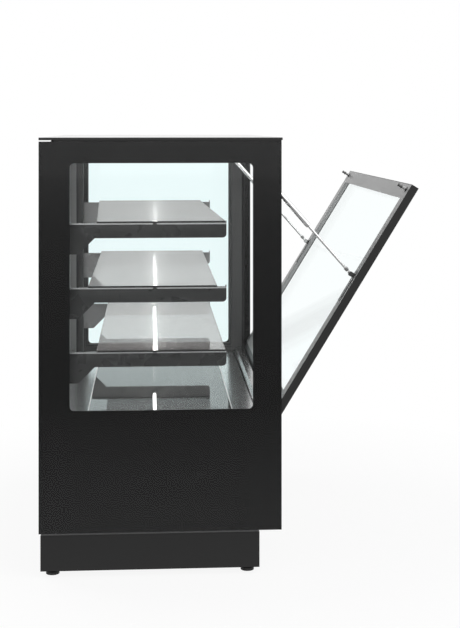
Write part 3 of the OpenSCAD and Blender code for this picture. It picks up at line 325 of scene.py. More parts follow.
def copper_pipe(name):
    """Copper, bright in places and browned in others."""
    pipe = Finish(name, (0.62, 0.27, 0.15), roughness=0.32, metallic=1.0)
    cloud = pipe.grain(scale=40, detail=4)
    pipe.colour(cloud, first=(0.42, 0.17, 0.09), second=(0.68, 0.33, 0.2))
    return pipe.rough(cloud, low=0.24, high=0.5).material


def coil_fins(name):
    """Aluminium fins with dust on them."""
    fins = Finish(name, shade(0.48), roughness=0.4, metallic=0.9)
    dust = fins.grain(scale=25, detail=5)
    fins.colour(dust, first=shade(0.3), second=shade(0.52))
    return fins.rough(dust, low=0.32, high=0.55).material


# Each takes its material's name first. Powder coat, plastic, enamel and brushed metal then take a grey and a
# roughness, and brushed metal the axis of its lines and, where it isn't 1, how metallic it is
FINISHES = {
    "chassis": powder_coat("chassis paint", 0.13, 0.5),
    "plinth": powder_coat("plinth paint", 0.006, 0.4),
    "panel": powder_coat("panel paint", 0.016, 0.3),
    "service": powder_coat("service panel paint", 0.02, 0.45),
    "canopy": powder_coat("canopy paint", 0.05, 0.4),
    "wall frame": powder_coat("wall frame paint", 0.07, 0.3),
    "rear frame": powder_coat("rear frame paint", 0.42, 0.35),
    # Painted light on the shelf arms: their inward faces are made lighter and their outer faces darker, as
    # light and shade fall on them
    "bracket": coat_with_painted_inner_light("bracket paint", outer=0.036, inner=0.28, roughness=0.28),
    "upright": powder_coat("upright paint", 0.06, 0.3),
    "door edge": powder_coat("door edge coat", 0.012, 0.42),
    "foot": rubber("foot rubber", 0.02),
    "seal": rubber("door seal", 0.014),
    "tape": rubber("bonding tape", 0.01),
    "zinc": brushed("zinc plated sheet", 0.5, 0.42, "x"),
    "foam": moulded("tub lining", 0.5, 0.4),
    "grille": brushed("grille steel", 0.62, 0.2, "x"),
    "sill": brushed("sill steel", 0.55, 0.22, "x"),
    "trim": brushed("trim aluminium", 0.7, 0.25, "x"),
    "slider": brushed("slider aluminium", 0.6, 0.3, "z", 0.6),
    "spacer": brushed("spacer coat", 0.09, 0.4, "z", 0.3),
    "door spacer": brushed("door spacer aluminium", 0.45, 0.35, "z", 0.5),
    "fitting": brushed("fitting steel", 0.3, 0.3, "x"),
    "dark fitting": brushed("dark fitting steel", 0.1, 0.25, "x", 0.7),
    "tube": brushed("strut tube steel", 0.72, 0.16, "z"),
    "rod": brushed("polished rod", 0.8, 0.08, "z"),
    "side print": enamel("black side print", 0.003, 0.14, Specular_IOR_Level=0.375),
    "grey print": enamel("grey border print", 0.28, 0.4),
    "top": enamel("black top glass", 0.012, 0.05),
    "deck": enamel("printed deck glass", 0.05, 0.025, Specular_Tint=MIRROR_TINT),
    "ground edge": moulded("ground glass edge", 0.8, 0.3),
    "pane": clear_pane("clear pane", tint=(0.998, 1.0, 1.0), share=0.2),
    "inner pane": clear_pane("inner pane", tint=(0.994, 1.0, 1.0), share=0.2),
    "far pane": clear_pane("tinted pane", tint=(0.945, 0.999, 1.0), share=0.2),
    "door pane": clear_pane("door pane", tint=(0.99, 1.0, 1.0), share=0.1),
    "shelf": shelf_pane("shelf glass", tint=(0.97, 0.98, 0.98), gloss_cap=0.4, film_value=0.42,
                        film_range=(0.06, 0.92), edge=0.022),
    "compressor": powder_coat("compressor paint", 0.012, 0.25),
    "coil": coil_fins("coil fins"),
    "fan": moulded("fan plastic", 0.025, 0.45),
    "copper": copper_pipe("copper pipe"),
    "box": moulded("box plastic", 0.55, 0.45),
    "black plastic": moulded("black plastic", 0.012, 0.4),
    "black gloss": moulded("black turned plastic", 0.008, 0.14),
    "button": moulded("button plastic", 0.25, 0.45),
    "lamp": lamp_diffuser("lit diffuser", 0.85, 8.0),
    "digit": lamp_diffuser("display segment", 0.6, 1.5),
    "screen": enamel("display window", 0.004, 0.4),
}

# The CAD nodes that keep their own shape, by finish
KEPT_SHAPES = {
    "chassis": ["chassis_frame"],
    "plinth": ["plinth_skirt"],
    "foot": ["levelling_feet"],
    "zinc": ["base_pan", "evaporation_pan", "evaporator_fan_tray"],
    "foam": ["insulated_tub"],
    "grille": ["front_air_grille", "rear_air_grille"],
    "side print": ["side_glass_prints"],
    "inner pane": ["side_inner_panes"],
    "spacer": ["side_glass_spacers"],
    "door spacer": ["door_glass_spacer"],
    "wall frame": ["side_wall_frames"],
    "sill": ["front_sill"],
    "canopy": ["canopy", "front_header"],
    "panel": ["lower_front_panel"],
    "tape": ["top_glass_tape"],
    "rear frame": ["rear_frame"],
    "service": ["rear_service_panel"],
    "upright": ["slotted_uprights"],
    "dark fitting": ["strut_top_mounts", "hinge_blocks", "door_fittings"],
    "compressor": ["compressor"],
    "coil": ["condenser_coil", "evaporator_coil"],
    "fan": ["fan_shroud", "condenser_fan", "left_evaporator_fan", "right_evaporator_fan"],
    "copper": ["refrigerant_pipes"],
    "box": ["electrical_box"],
    "black plastic": ["power_inlet", "controller", "light_rocker"],
    "button": ["set_button", "up_button", "down_button"],
    "tube": ["left_strut_tube", "right_strut_tube"],
    "rod": ["left_strut_rod", "right_strut_rod"],
    "door pane": ["door_outer_pane", "door_inner_pane"],
    "grey print": ["door_border_print"],
}

# The CAD nodes that get their edges eased: finish, width of the easing and slot
EASED_SHAPES = {
    "left_side_glass": ("pane", 0.0012, "clear_glass"),
    "right_side_glass": ("far pane", 0.0012, "clear_glass"),
    "top_glass": ("top", 0.0015, "top_glass"),
    "deck_plate": ("deck", 0.0008, "deck_glass"),
    "upper_glass_shelf": ("shelf", 0.0009, "shelf_glass"),
    "middle_glass_shelf": ("shelf", 0.0009, "shelf_glass"),
    "lower_glass_shelf": ("shelf", 0.0009, "shelf_glass"),
    "shelf_brackets": ("bracket", 0.0005, "bracket_paint"),
    "door_edge_profiles": ("door edge", 0.0006, "edge_black"),
}


def paint_kept_shapes():
    for finish, names in KEPT_SHAPES.items():
        for name in names:
            nodes[name].data.materials.clear()
            nodes[name].data.materials.append(FINISHES[finish])


# Mesh helpers

# Bends below this many degrees are shaded smooth, and below the second on round pieces
SMOOTH_ANGLE = 20
ROUND_ANGLE = 50
WELD = 0.00002
# Play between pieces that sit in or on each other
PLAY = 0.0003


def settle(name, mesh, finish, body, stands_for):
    """Links a finished mesh as a piece of the object."""
    piece = bpy.data.objects.new(name, mesh)
    bpy.context.scene.collection.objects.link(piece)
    mesh.materials.clear()
    mesh.materials.append(FINISHES[finish])
    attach(piece, body)
    if stands_for:
        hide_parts(*stands_for)
    return piece


def piece_from(shape, name, finish, body, stands_for=(), smooth=SMOOTH_ANGLE):
    """Turns a bmesh into a piece, with its faces pointing outwards and bends below an angle smooth."""
    bmesh.ops.recalc_face_normals(shape, faces=shape.faces)
    mesh = bpy.data.meshes.new(name)
    shape.to_mesh(mesh)
    shape.free()
    mesh.shade_smooth()
    mesh.set_sharp_from_angle(angle=math.radians(smooth))
    return settle(name, mesh, finish, body, stands_for)


def ease_edges(shape, width, segments=2, angle=30):
    """Rounds every edge of a bmesh that is sharper than an angle."""
    limit = math.radians(angle)
    sharp = [edge for edge in shape.edges if edge.is_manifold and edge.calc_face_angle() > limit]
    bmesh.ops.bevel(shape, geom=sharp, offset=width, segments=segments, profile=0.5,
                    affect="EDGES", clamp_overlap=True)


def block(shape, low, high, easing=0.0, segments=2):
    """Adds a block from corner to corner, with its edges eased where a width is given."""
    low, high = Vector(low), Vector(high)
    part = bmesh.new()
    place = Matrix.Translation((low + high) / 2) @ Matrix.Diagonal((*(high - low), 1))
    bmesh.ops.create_cube(part, size=1, matrix=place)
    if easing:
        ease_edges(part, easing, segments)
    add_part(shape, part)


def bar(shape, start, end, radius, end_radius=None, sides=32, *, easing):
    """Adds a round bar between two points, with its ends' edges eased."""
    start, end = Vector(start), Vector(end)
    way = end - start
    part = bmesh.new()
    place = Matrix.Translation((start + end) / 2) @ way.to_track_quat("Z", "Y").to_matrix().to_4x4()
    bmesh.ops.create_cone(part, cap_ends=True, segments=sides, radius1=radius, depth=way.length,
                          radius2=radius if end_radius is None else end_radius, matrix=place)
    ease_edges(part, easing, angle=45)
    add_part(shape, part)


def ring(shape, centre, axis, radius, thickness, sides=32, turns=12):
    """Adds a torus round an axis."""
    part = bmesh.new()
    turn = Vector(axis).to_track_quat("Z", "Y").to_matrix().to_4x4()
    place = Matrix.Translation(centre) @ turn
    rows = []
    for i in range(sides):
        around = 2 * math.pi * i / sides
        row = []
        for j in range(turns):
            across = 2 * math.pi * j / turns
            reach = radius + thickness * math.cos(across)
            spot = Vector((reach * math.cos(around), reach * math.sin(around), thickness * math.sin(across)))
            row.append(part.verts.new(place @ spot))
        rows.append(row)
    for i in range(sides):
        for j in range(turns):
            following, beside = rows[(i + 1) % sides], (j + 1) % turns
            part.faces.new((rows[i][j], following[j], following[beside], rows[i][beside]))
    add_part(shape, part)


def add_part(shape, part):
    """Moves the faces of one bmesh into another."""
    mesh = bpy.data.meshes.new("part")
    bmesh.ops.recalc_face_normals(part, faces=part.faces)
    part.to_mesh(mesh)
    part.free()
    shape.from_mesh(mesh)
    bpy.data.meshes.remove(mesh)


def ease_cad_shapes():
    """Copies the panes and visible sheet parts with eased edges, as ground glass and bent sheet have."""
    flat, corners_of_quad = math.radians(1), 4
    for name, (finish, width, slot) in EASED_SHAPES.items():
        shape = bmesh.new()
        shape.from_mesh(nodes[name].data)
        bmesh.ops.remove_doubles(shape, verts=shape.verts, dist=WELD)
        bmesh.ops.dissolve_limit(shape, angle_limit=flat, verts=shape.verts, edges=shape.edges)
        ease_edges(shape, width, angle=20)
        wide = [face for face in shape.faces if len(face.verts) > corners_of_quad]
        bmesh.ops.triangulate(shape, faces=wide)
        piece_from(shape, f"{name}_eased", finish, nodes[name]["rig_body"], [name])


# Geometry Nodes helpers


class Grower:
    """A Geometry Nodes tree with named inputs, which makes one plain mesh for one body."""

    def __init__(self, name):
        self.tree = bpy.data.node_groups.new(name, "GeometryNodeTree")
        self.tree.interface.new_socket("Geometry", in_out="OUTPUT", socket_type="NodeSocketGeometry")
        self.entry = self.tree.nodes.new("NodeGroupInput")
        self.exit = self.tree.nodes.new("NodeGroupOutput")
        self.sizes = {}

    def size(self, name, value, kind="Float"):
        """Declares a named input and returns its socket."""
        made = self.tree.interface.new_socket(name, in_out="INPUT", socket_type=f"NodeSocket{kind}")
        self.sizes[made.identifier] = value
        return self.entry.outputs[name]

    def node(self, kind, settings=(), **inputs):
        node = self.tree.nodes.new(kind)
        for setting, value in dict(settings).items():
            setattr(node, setting, value)
        for socket, value in inputs.items():
            self.feed(node.inputs[socket.replace("_", " ")], value)
        return node

    def feed(self, socket, value):
        if isinstance(value, bpy.types.NodeSocket):
            self.tree.links.new(value, socket)
        else:
            socket.default_value = value

    def sum(self, operation, first, second):
        maths = self.node("ShaderNodeMath", {"operation": operation})
        self.feed(maths.inputs[0], first)
        self.feed(maths.inputs[1], second)
        return maths.outputs[0]

    def place(self, x=0.0, y=0.0, z=0.0):
        return self.node("ShaderNodeCombineXYZ", X=x, Y=y, Z=z).outputs[0]

    def join(self, *parts):
        joined = self.node("GeometryNodeJoinGeometry")
        for part in parts:
            self.tree.links.new(part, joined.inputs[0])
        return joined.outputs[0]

    def moved(self, part, shift, turn=(0, 0, 0)):
        """A part turned and shifted."""
        return self.node("GeometryNodeTransform", Geometry=part, Translation=shift, Rotation=turn).outputs[0]

    def copies(self, points, part):
        """A part on each point."""
        return self.node("GeometryNodeInstanceOnPoints", Points=points, Instance=part).outputs[0]

    def finished(self, part, finish, name, body, stands_for=()):
        """Ends the tree, evaluates it and keeps the result as a plain piece."""
        real = self.node("GeometryNodeRealizeInstances", Geometry=part)
        covered = self.node("GeometryNodeSetMaterial", Geometry=real.outputs[0], Material=FINISHES[finish])
        self.tree.links.new(covered.outputs[0], self.exit.inputs[0])
        maker = bpy.data.objects.new(f"{name}_maker", bpy.data.meshes.new(f"{name}_maker"))
        bpy.context.scene.collection.objects.link(maker)
        modifier = maker.modifiers.new("grow", "NODES")
        modifier.node_group = self.tree
        for identifier, value in self.sizes.items():
            modifier[identifier] = value
        evaluated = maker.evaluated_get(bpy.context.evaluated_depsgraph_get())
        mesh = bpy.data.meshes.new_from_object(evaluated)
        maker.modifiers.remove(modifier)
        bpy.data.objects.remove(maker)
        mesh.name = name
        return settle(name, mesh, finish, body, stands_for)


# Pieces that repeat or follow a path

# From the top of the lamps' box down to the lower face of the strip under the canopy
STRIP_DROP = 0.0118


def door_seal():
    """The magnetic seal on the case: a flat foot and a round bulb, led round the doorway."""
    low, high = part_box("door_gasket")
    foot_width, foot_depth, bulb = 0.012, 0.0036, 0.0031
    grow = Grower("seal round a doorway")
    wide = grow.size("Doorway width", high.x - low.x - foot_width)
    tall = grow.size("Doorway height", high.z - low.z - foot_width)
    width = grow.size("Foot width", foot_width)
    depth = grow.size("Foot depth", foot_depth)
    radius = grow.size("Bulb radius", bulb)
    path = grow.node("GeometryNodeCurvePrimitiveQuadrilateral", Width=wide, Height=tall).outputs[0]
    foot = grow.node("GeometryNodeCurvePrimitiveQuadrilateral", Width=width, Height=depth).outputs[0]
    tube = grow.node("GeometryNodeCurvePrimitiveCircle", Resolution=20, Radius=radius).outputs[0]
    lift = grow.sum("ADD", grow.sum("MULTIPLY", depth, 0.5), radius)
    parts = []
    for profile, height in ((foot, 0.0), (tube, lift)):
        swept = grow.node("GeometryNodeCurveToMesh", Curve=path)
        grow.feed(swept.inputs["Profile Curve"], profile)
        parts.append(grow.moved(swept.outputs[0], grow.place(z=height)))
    centre = (low + high) / 2
    standing = grow.moved(grow.join(*parts), (0, high.y - foot_depth / 2, centre.z), (math.pi / 2, 0, 0))
    grow.finished(standing, "seal", "door_seal", "cabinet", ["door_gasket"])


def service_screws():
    """A domed head with a raised cross over each of the service panel's screws."""
    low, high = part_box("rear_service_panel")
    inset_x, inset_z, head, rise = 0.0203, 0.020, 0.0046, 0.0016
    cross_size = (head * 1.1, head * 0.22, rise * 0.6)
    cross_height, sunk = rise * 0.85, rise * 0.9
    grow = Grower("screws in rows")
    across = grow.size("Screws across", 3, "Int")
    upward = grow.size("Screws upward", 2, "Int")
    wide = grow.size("Row width", high.x - low.x - 2 * inset_x)
    tall = grow.size("Row height", high.z - low.z - 2 * inset_z)
    radius = grow.size("Head radius", head)
    grid = grow.node("GeometryNodeMeshGrid", Size_X=wide, Size_Y=tall, Vertices_X=across, Vertices_Y=upward)
    dome = grow.node("GeometryNodeMeshUVSphere", Segments=20, Rings=8, Radius=radius).outputs[0]
    flat = grow.node("GeometryNodeTransform", Geometry=dome, Scale=(1, 1, rise / head)).outputs[0]
    cross_bar = grow.node("GeometryNodeMeshCube", Size=cross_size).outputs[0]
    bars = [grow.moved(cross_bar, (0, 0, cross_height), (0, 0, turn * math.pi / 4)) for turn in (1, 3)]
    screws = grow.copies(grid.outputs[0], grow.join(flat, *bars))
    centre = (low + high) / 2
    standing = grow.moved(screws, (centre.x, high.y - sunk, centre.z), (-math.pi / 2, 0, 0))
    grow.finished(standing, "fitting", "service_screws", "cabinet")


def louvre_blades():
    """Sloping blades behind the service panel's slots, in columns and rows."""
    back_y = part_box("rear_service_panel")[1].y
    columns, rows, pitch_x, pitch_z = 3, 9, 0.110, 0.014
    middle_x, lowest_z, behind, above = 0.260, 0.173, 0.0052, 0.0005
    blade_length, blade_depth, blade_t, slope = 0.096, 0.0075, 0.0008, math.radians(55)
    middle = Vector((middle_x, back_y - behind, lowest_z + (rows - 1) / 2 * pitch_z + above))
    grow = Grower("blades in columns")
    across = grow.size("Columns", columns, "Int")
    upward = grow.size("Rows", rows, "Int")
    wide = grow.size("Columns width", pitch_x * (columns - 1))
    tall = grow.size("Rows height", pitch_z * (rows - 1))
    length = grow.size("Blade length", blade_length)
    grid = grow.node("GeometryNodeMeshGrid", Size_X=wide, Size_Y=tall, Vertices_X=across, Vertices_Y=upward)
    blade = grow.node("GeometryNodeMeshCube", Size=grow.place(length, blade_depth, blade_t)).outputs[0]
    blades = grow.copies(grid.outputs[0], grow.moved(blade, (0, 0, 0), (slope, 0, 0)))
    standing = grow.moved(blades, middle, (-math.pi / 2, 0, 0))
    grow.finished(standing, "service", "louvre_blades", "cabinet")


def lamp_chips():
    """The row of small lamps that show through the strip under the canopy."""
    low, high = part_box("light_tubes")
    chip, chip_rise, pitch, end_gap = 0.003, 0.0012, 0.0167, 0.03
    length = high.x - low.x - 2 * end_gap
    count = int(length / pitch)
    grow = Grower("lamps in a row")
    many = grow.size("Lamps", count, "Int")
    reach = grow.size("Row length", length)
    size = grow.size("Lamp size", chip)
    step = grow.sum("DIVIDE", reach, grow.sum("SUBTRACT", many, 1))
    start = (-length / 2, (low.y + high.y) / 2, high.z - STRIP_DROP)
    line = grow.node("GeometryNodeMeshLine", Count=many, Offset=grow.place(x=step), Start_Location=start)
    cube = grow.node("GeometryNodeMeshCube", Size=grow.place(size, size, chip_rise)).outputs[0]
    grow.finished(grow.copies(line.outputs[0], cube), "lamp", "lamp_row", "cabinet")


# Lamps and trims

SHELF_NAMES = ["lower_glass_shelf", "middle_glass_shelf", "upper_glass_shelf"]
ARM_THICKNESS = 0.003
LAMP_DROP = 0.0163
LAMP_RADIUS = 0.006


def lamps():
    """Opal lamp tubes under the shelf arms with a clip at each end, and a lamp strip under the canopy."""
    low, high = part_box("light_tubes")
    mid_y, top = (low.y + high.y) / 2, high.z
    clip_width, clip_height, clip_reach = 0.012, 0.025, 0.01
    cup_depth, cup_radius = 0.003, 0.008
    back_t, strip_reach, strip_in = 0.004, 0.0085, 0.004
    end = high.x - clip_width - PLAY
    face = high.x - clip_width
    fronts, backs, clips = bmesh.new(), bmesh.new(), bmesh.new()
    for name in SHELF_NAMES:
        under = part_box(name)[0].z - ARM_THICKNESS - PLAY
        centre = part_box(name)[0].z - LAMP_DROP
        bar(fronts, (-end, mid_y, centre), (end, mid_y, centre), LAMP_RADIUS, easing=0.0006)
        for side in (-1, 1):
            x0, x1 = sorted((side * face, side * high.x))
            block(clips, (x0, mid_y - clip_reach, under - clip_height), (x1, mid_y + clip_reach, under),
                  easing=0.002, segments=3)
            face_x = side * face
            cup_x = face_x - side * cup_depth
            bar(clips, (face_x, mid_y, centre), (cup_x, mid_y, centre), cup_radius, sides=24, easing=0.0008)
    back_low, back_high = (-high.x, mid_y - clip_reach, top - back_t), (high.x, mid_y + clip_reach, top)
    block(backs, back_low, back_high, easing=0.0006)
    strip_low = (-high.x + strip_in, mid_y - strip_reach, top - STRIP_DROP)
    strip_high = (high.x - strip_in, mid_y + strip_reach, top - back_t)
    block(fronts, strip_low, strip_high, easing=0.0025, segments=3)
    piece_from(fronts, "lamp_fronts", "lamp", "cabinet", ["light_tubes"])
    piece_from(backs, "lamp_backs", "trim", "cabinet")
    # The clips take the arms' paint, with the same painted light on their inward faces
    piece_from(clips, "lamp_clips", "bracket", "cabinet")


def bracket_strips():
    """Pale edge strips along the top of each shelf arm, parted where the lamp's clip sits."""
    arm_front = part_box("shelf_brackets")[0].y
    lamp_low, lamp_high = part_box("light_tubes")
    arm_outer, root = 0.5315, 0.4912
    strip_t, strip_h, inset = 0.0009, 0.0048, 0.0002
    gap_behind, half_gap = 0.0035, 0.006
    tip, mid = arm_front + inset, (lamp_low.y + lamp_high.y) / 2 + gap_behind
    strips = bmesh.new()
    for name in SHELF_NAMES:
        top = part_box(name)[0].z
        for side in (-1, 1):
            x0, x1 = sorted((side * arm_outer, side * (arm_outer + strip_t)))
            for y0, y1 in ((tip, mid - half_gap), (mid + half_gap, root)):
                block(strips, (x0, y0, top - strip_h), (x1, y1, top - inset), easing=0.0003, segments=1)
    piece_from(strips, "bracket_strips", "trim", "cabinet")


def deck_trims():
    """The deck glass's ground edges, and the lips of the rear doors' tracks."""
    low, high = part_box("deck_plate")
    width, proud = 0.0028, 0.0002
    edges = bmesh.new()
    for y0, y1 in ((low.y - proud, low.y + width), (high.y - width, high.y + proud)):
        block(edges, (low.x, y0, high.z - width), (high.x, y1, high.z + proud), easing=0.0004)
    piece_from(edges, "deck_edges", "ground edge", "cabinet")
    lip_reach, lip_t, lip_in, lip_foot, lip_top = 0.563, 0.002, 0.0005, 0.016, 0.0185
    tracks = bmesh.new()
    track_low, track_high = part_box("rear_frame")
    middle = (track_low.y + track_high.y) / 2
    for y in (track_low.y + lip_in, middle - lip_t / 2, track_high.y - (lip_in + lip_t)):
        lip_low = (-lip_reach, y, track_low.z + lip_foot)
        lip_high = (lip_reach, y + lip_t, track_low.z + lip_top)
        block(tracks, lip_low, lip_high, easing=0.0004, segments=1)
    piece_from(tracks, "track_lips", "trim", "cabinet")


# Rear sliding doors


def carved(shape, pockets, name):
    """The shape with pockets cut out, as a mesh."""
    made = []
    for label, content in (("body", shape), ("pockets", pockets)):
        mesh = bpy.data.meshes.new(f"{name}_{label}")
        bmesh.ops.recalc_face_normals(content, faces=content.faces)
        content.to_mesh(mesh)
        content.free()
        maker = bpy.data.objects.new(f"{name}_{label}", mesh)
        bpy.context.scene.collection.objects.link(maker)
        made.append(maker)
    modifier = made[0].modifiers.new("carve", "BOOLEAN")
    modifier.object = made[1]
    modifier.solver = "EXACT"
    evaluated = made[0].evaluated_get(bpy.context.evaluated_depsgraph_get())
    mesh = bpy.data.meshes.new_from_object(evaluated)
    for maker in made:
        bpy.data.objects.remove(maker)
    return mesh


def rear_doors():
    """Each sliding door is a frame with a finger groove, a glazing seal and a clear pane."""
    frame_width, groove_depth, groove_width, groove_length, glass = 0.040, 0.006, 0.014, 0.300, 0.008
    overrun, easing, bead, bead_reach, joint = 0.01, 0.0008, 0.004, 0.0008, 0.0001
    for name, side in (("left_rear_door", -1), ("right_rear_door", 1)):
        low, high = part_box(name)
        body, pockets, seal, pane = bmesh.new(), bmesh.new(), bmesh.new(), bmesh.new()
        block(body, low, high, easing)
        inner_low = low + Vector((frame_width, -overrun, frame_width))
        inner_high = high + Vector((-frame_width, overrun, -frame_width))
        block(pockets, inner_low, inner_high)
        outer_x = high.x if side > 0 else low.x
        pull_x = outer_x - side * frame_width / 2
        mid_z = (low.z + high.z) / 2
        block(pockets, (pull_x - groove_width / 2, high.y - groove_depth, mid_z - groove_length / 2),
              (pull_x + groove_width / 2, high.y + overrun, mid_z + groove_length / 2))
        mesh = carved(body, pockets, name)
        mesh.shade_smooth()
        mesh.set_sharp_from_angle(angle=math.radians(SMOOTH_ANGLE))
        settle(f"{name}_frame", mesh, "slider", name, [name])
        middle = (low.y + high.y) / 2
        block(pane, (inner_low.x + PLAY, middle - glass / 2, inner_low.z + PLAY),
              (inner_high.x - PLAY, middle + glass / 2, inner_high.z - PLAY), easing)
        piece_from(pane, f"{name}_glass", "pane", name)
        side_low, side_high = inner_low.z + bead + joint, inner_high.z - bead - joint
        for y in (middle - glass / 2, middle + glass / 2):
            for x0, z0, x1, z1 in (
                (inner_low.x, inner_low.z, inner_high.x, inner_low.z + bead),
                (inner_low.x, inner_high.z - bead, inner_high.x, inner_high.z),
                (inner_low.x, side_low, inner_low.x + bead, side_high),
                (inner_high.x - bead, side_low, inner_high.x, side_high),
            ):
                block(seal, (x0, y - bead_reach, z0), (x1, y + bead_reach, z1), easing=0.0003, segments=1)
        piece_from(seal, f"{name}_bead", "seal", name)


# Struts and door fittings


def on_open_door(x, out, up):
    """A point on the open door, from the hinge line: out along its inner face's normal, and up along it."""
    return HINGE + Matrix.Rotation(DOOR_TILT, 3, "X") @ Vector((x - HINGE.x, out, up))


def strut_details():
    """Glands at both ends of each tube, a collar at the rod's socket and a wire clip round the ball."""
    # Each gland: from and to along the strut from its upper ball, radius and easing
    glands = ((0.2605, 0.2712, 0.0071, 0.0008), (0.016, 0.021, 0.0083, 0.0006))
    # The collar and its bead, measured back from the lower ball
    collar_from, bead_at, collar_to, collar_radius, bead_wire = 0.0245, 0.0215, 0.0135, 0.0056, 0.0008
    clip_radius, clip_wire = 0.0071, 0.0006
    for side in ("left", "right"):
        pivot = Vector(joints[f"{side}_strut_pivot"]["pos_m"])
        ball = on_open_door(pivot.x, *STUD)
        length, way = (ball - pivot).length, (ball - pivot).normalized()
        gland, collar, clip = bmesh.new(), bmesh.new(), bmesh.new()
        for start, end, radius, easing in glands:
            bar(gland, pivot + way * start, pivot + way * end, radius, sides=28, easing=easing)
        piece_from(gland, f"{side}_strut_gland", "black plastic", f"{side}_strut_tube")
        collar_start, collar_end = pivot + way * (length - collar_from), pivot + way * (length - collar_to)
        bar(collar, collar_start, collar_end, collar_radius, sides=24, easing=0.0006)
        ring(collar, pivot + way * (length - bead_at), way, collar_radius, bead_wire)
        collar_name, body = f"{side}_rod_collar", f"{side}_strut_rod"
        piece_from(collar, collar_name, "fitting", body, smooth=ROUND_ANGLE)
        ring(clip, pivot + way * length, (1, 0, 0), clip_radius, clip_wire)
        piece_from(clip, f"{side}_rod_clip", "rod", body, smooth=ROUND_ANGLE)


def catch_springs():
    """Return springs, foot plates and end caps on the two catch pins at the door's upper corners."""
    half_door, catch_x, catch_up, catch_length, outward = 0.012, 0.556, 0.774, 0.030, 0.01
    coils, first_coil, pitch, spring_radius, wire = 5, 0.0045, 0.0022, 0.0047, 0.0006
    cap_length, cap_short, cap_radius, cap_end_radius = 0.0035, 0.0002, 0.0052, 0.0046
    plate_foot, plate_top, plate_radius = 0.0003, 0.0015, 0.009
    springs, caps = bmesh.new(), bmesh.new()
    for side in (-1, 1):
        x = side * catch_x
        way = on_open_door(x, half_door + outward, catch_up) - on_open_door(x, half_door, catch_up)
        for coil in range(coils):
            start = on_open_door(x, half_door + first_coil + coil * pitch, catch_up)
            ring(springs, start, way, spring_radius, wire, sides=20, turns=8)
        tip = on_open_door(x, half_door + catch_length - cap_length, catch_up)
        end = on_open_door(x, half_door + catch_length - cap_short, catch_up)
        bar(caps, tip, end, cap_radius, cap_end_radius, sides=24, easing=0.0004)
        plate = on_open_door(x, half_door + plate_foot, catch_up)
        plate_end = on_open_door(x, half_door + plate_top, catch_up)
        bar(caps, plate, plate_end, plate_radius, sides=28, easing=0.0004)
    piece_from(springs, "catch_springs", "rod", "front_door", smooth=ROUND_ANGLE)
    piece_from(caps, "catch_caps", "black gloss", "front_door")


# Controls

DIGIT_RELIEF = 0.0002


def controller_face():
    """The controller's window with two digits and a point, made of plain segments."""
    low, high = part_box("controller")
    window_in, window_down, behind = 0.0058, 0.0078, 0.0009
    window_size = Vector((0.0334, 0.0005, 0.0156))
    window_low = Vector((low.x + window_in, high.y - behind, (low.z + high.z) / 2 - window_down))
    window_high = window_low + window_size
    window = bmesh.new()
    block(window, window_low, window_high, easing=0.0002, segments=1)
    piece_from(window, "controller_window", "screen", "cabinet")
    lit = bmesh.new()
    lengths = {"height": 0.0098, "width": 0.0052, "stroke": 0.0011}
    tens_x, units_x = 0.0062, -0.0052
    point_x0, point_x1, point_z0, point_z1 = -0.0002, 0.0009, -0.0049, -0.0038
    centre = (window_low + window_high) / 2
    for digit, step in ((4, tens_x), (0, units_x)):
        seven_segments(lit, digit, centre.x + step, window_high.y, centre.z, **lengths)
    block(lit, (centre.x + point_x0, window_high.y, centre.z + point_z0),
          (centre.x + point_x1, window_high.y + DIGIT_RELIEF, centre.z + point_z1))
    piece_from(lit, "controller_digits", "digit", "cabinet")


SEGMENTS_LIT = {0: "abcdef", 4: "bcfg"}


def seven_segments(shape, digit, x, y, z, height, width, stroke):
    """One digit of seven bars, read from behind the counter, where X runs to the left."""
    half_w, half_h = width / 2, height / 2
    bars = {
        "a": (-half_w, half_h, half_w, half_h), "g": (-half_w, 0, half_w, 0),
        "d": (-half_w, -half_h, half_w, -half_h),
        "b": (-half_w, 0, -half_w, half_h), "c": (-half_w, -half_h, -half_w, 0),
        "f": (half_w, 0, half_w, half_h), "e": (half_w, -half_h, half_w, 0),
    }
    for letter in SEGMENTS_LIT[digit]:
        x0, z0, x1, z1 = bars[letter]
        inset = stroke * 0.6
        grow_x, grow_z = (-inset, stroke / 2) if z0 == z1 else (stroke / 2, -inset)
        block(shape, (x + x0 - grow_x, y, z + z0 - grow_z),
              (x + x1 + grow_x, y + DIGIT_RELIEF, z + z1 + grow_z))


def inlet_pins():
    """Copper-coloured metal over the inlet's three pins."""
    low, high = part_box("power_inlet")
    pitch, side_down, middle_up = 0.027 / 4, -0.004, 0.002
    half_width, root, tip, below, above = 0.0012, 0.003, 0.0172, 0.0002, 0.0042
    pins = bmesh.new()
    centre = (low + high) / 2
    for step, lift in ((-1, side_down), (0, middle_up), (1, side_down)):
        x, z = centre.x + step * pitch, centre.z + lift
        block(pins, (x - half_width, low.y + root, z - below), (x + half_width, low.y + tip, z + above),
              easing=0.0003, segments=1)
    piece_from(pins, "inlet_pins", "copper", "cabinet")


# Studio

SURROUND_LIGHT = 0.6
# The surround in mirror images: between which two shares of X its brightness changes, and from what to what
MIRRORED_SURROUND = (-0.9, 0.0, 0.95, 1.0)
OBJECT_MIDDLE = (0, 0.2, 0.7)


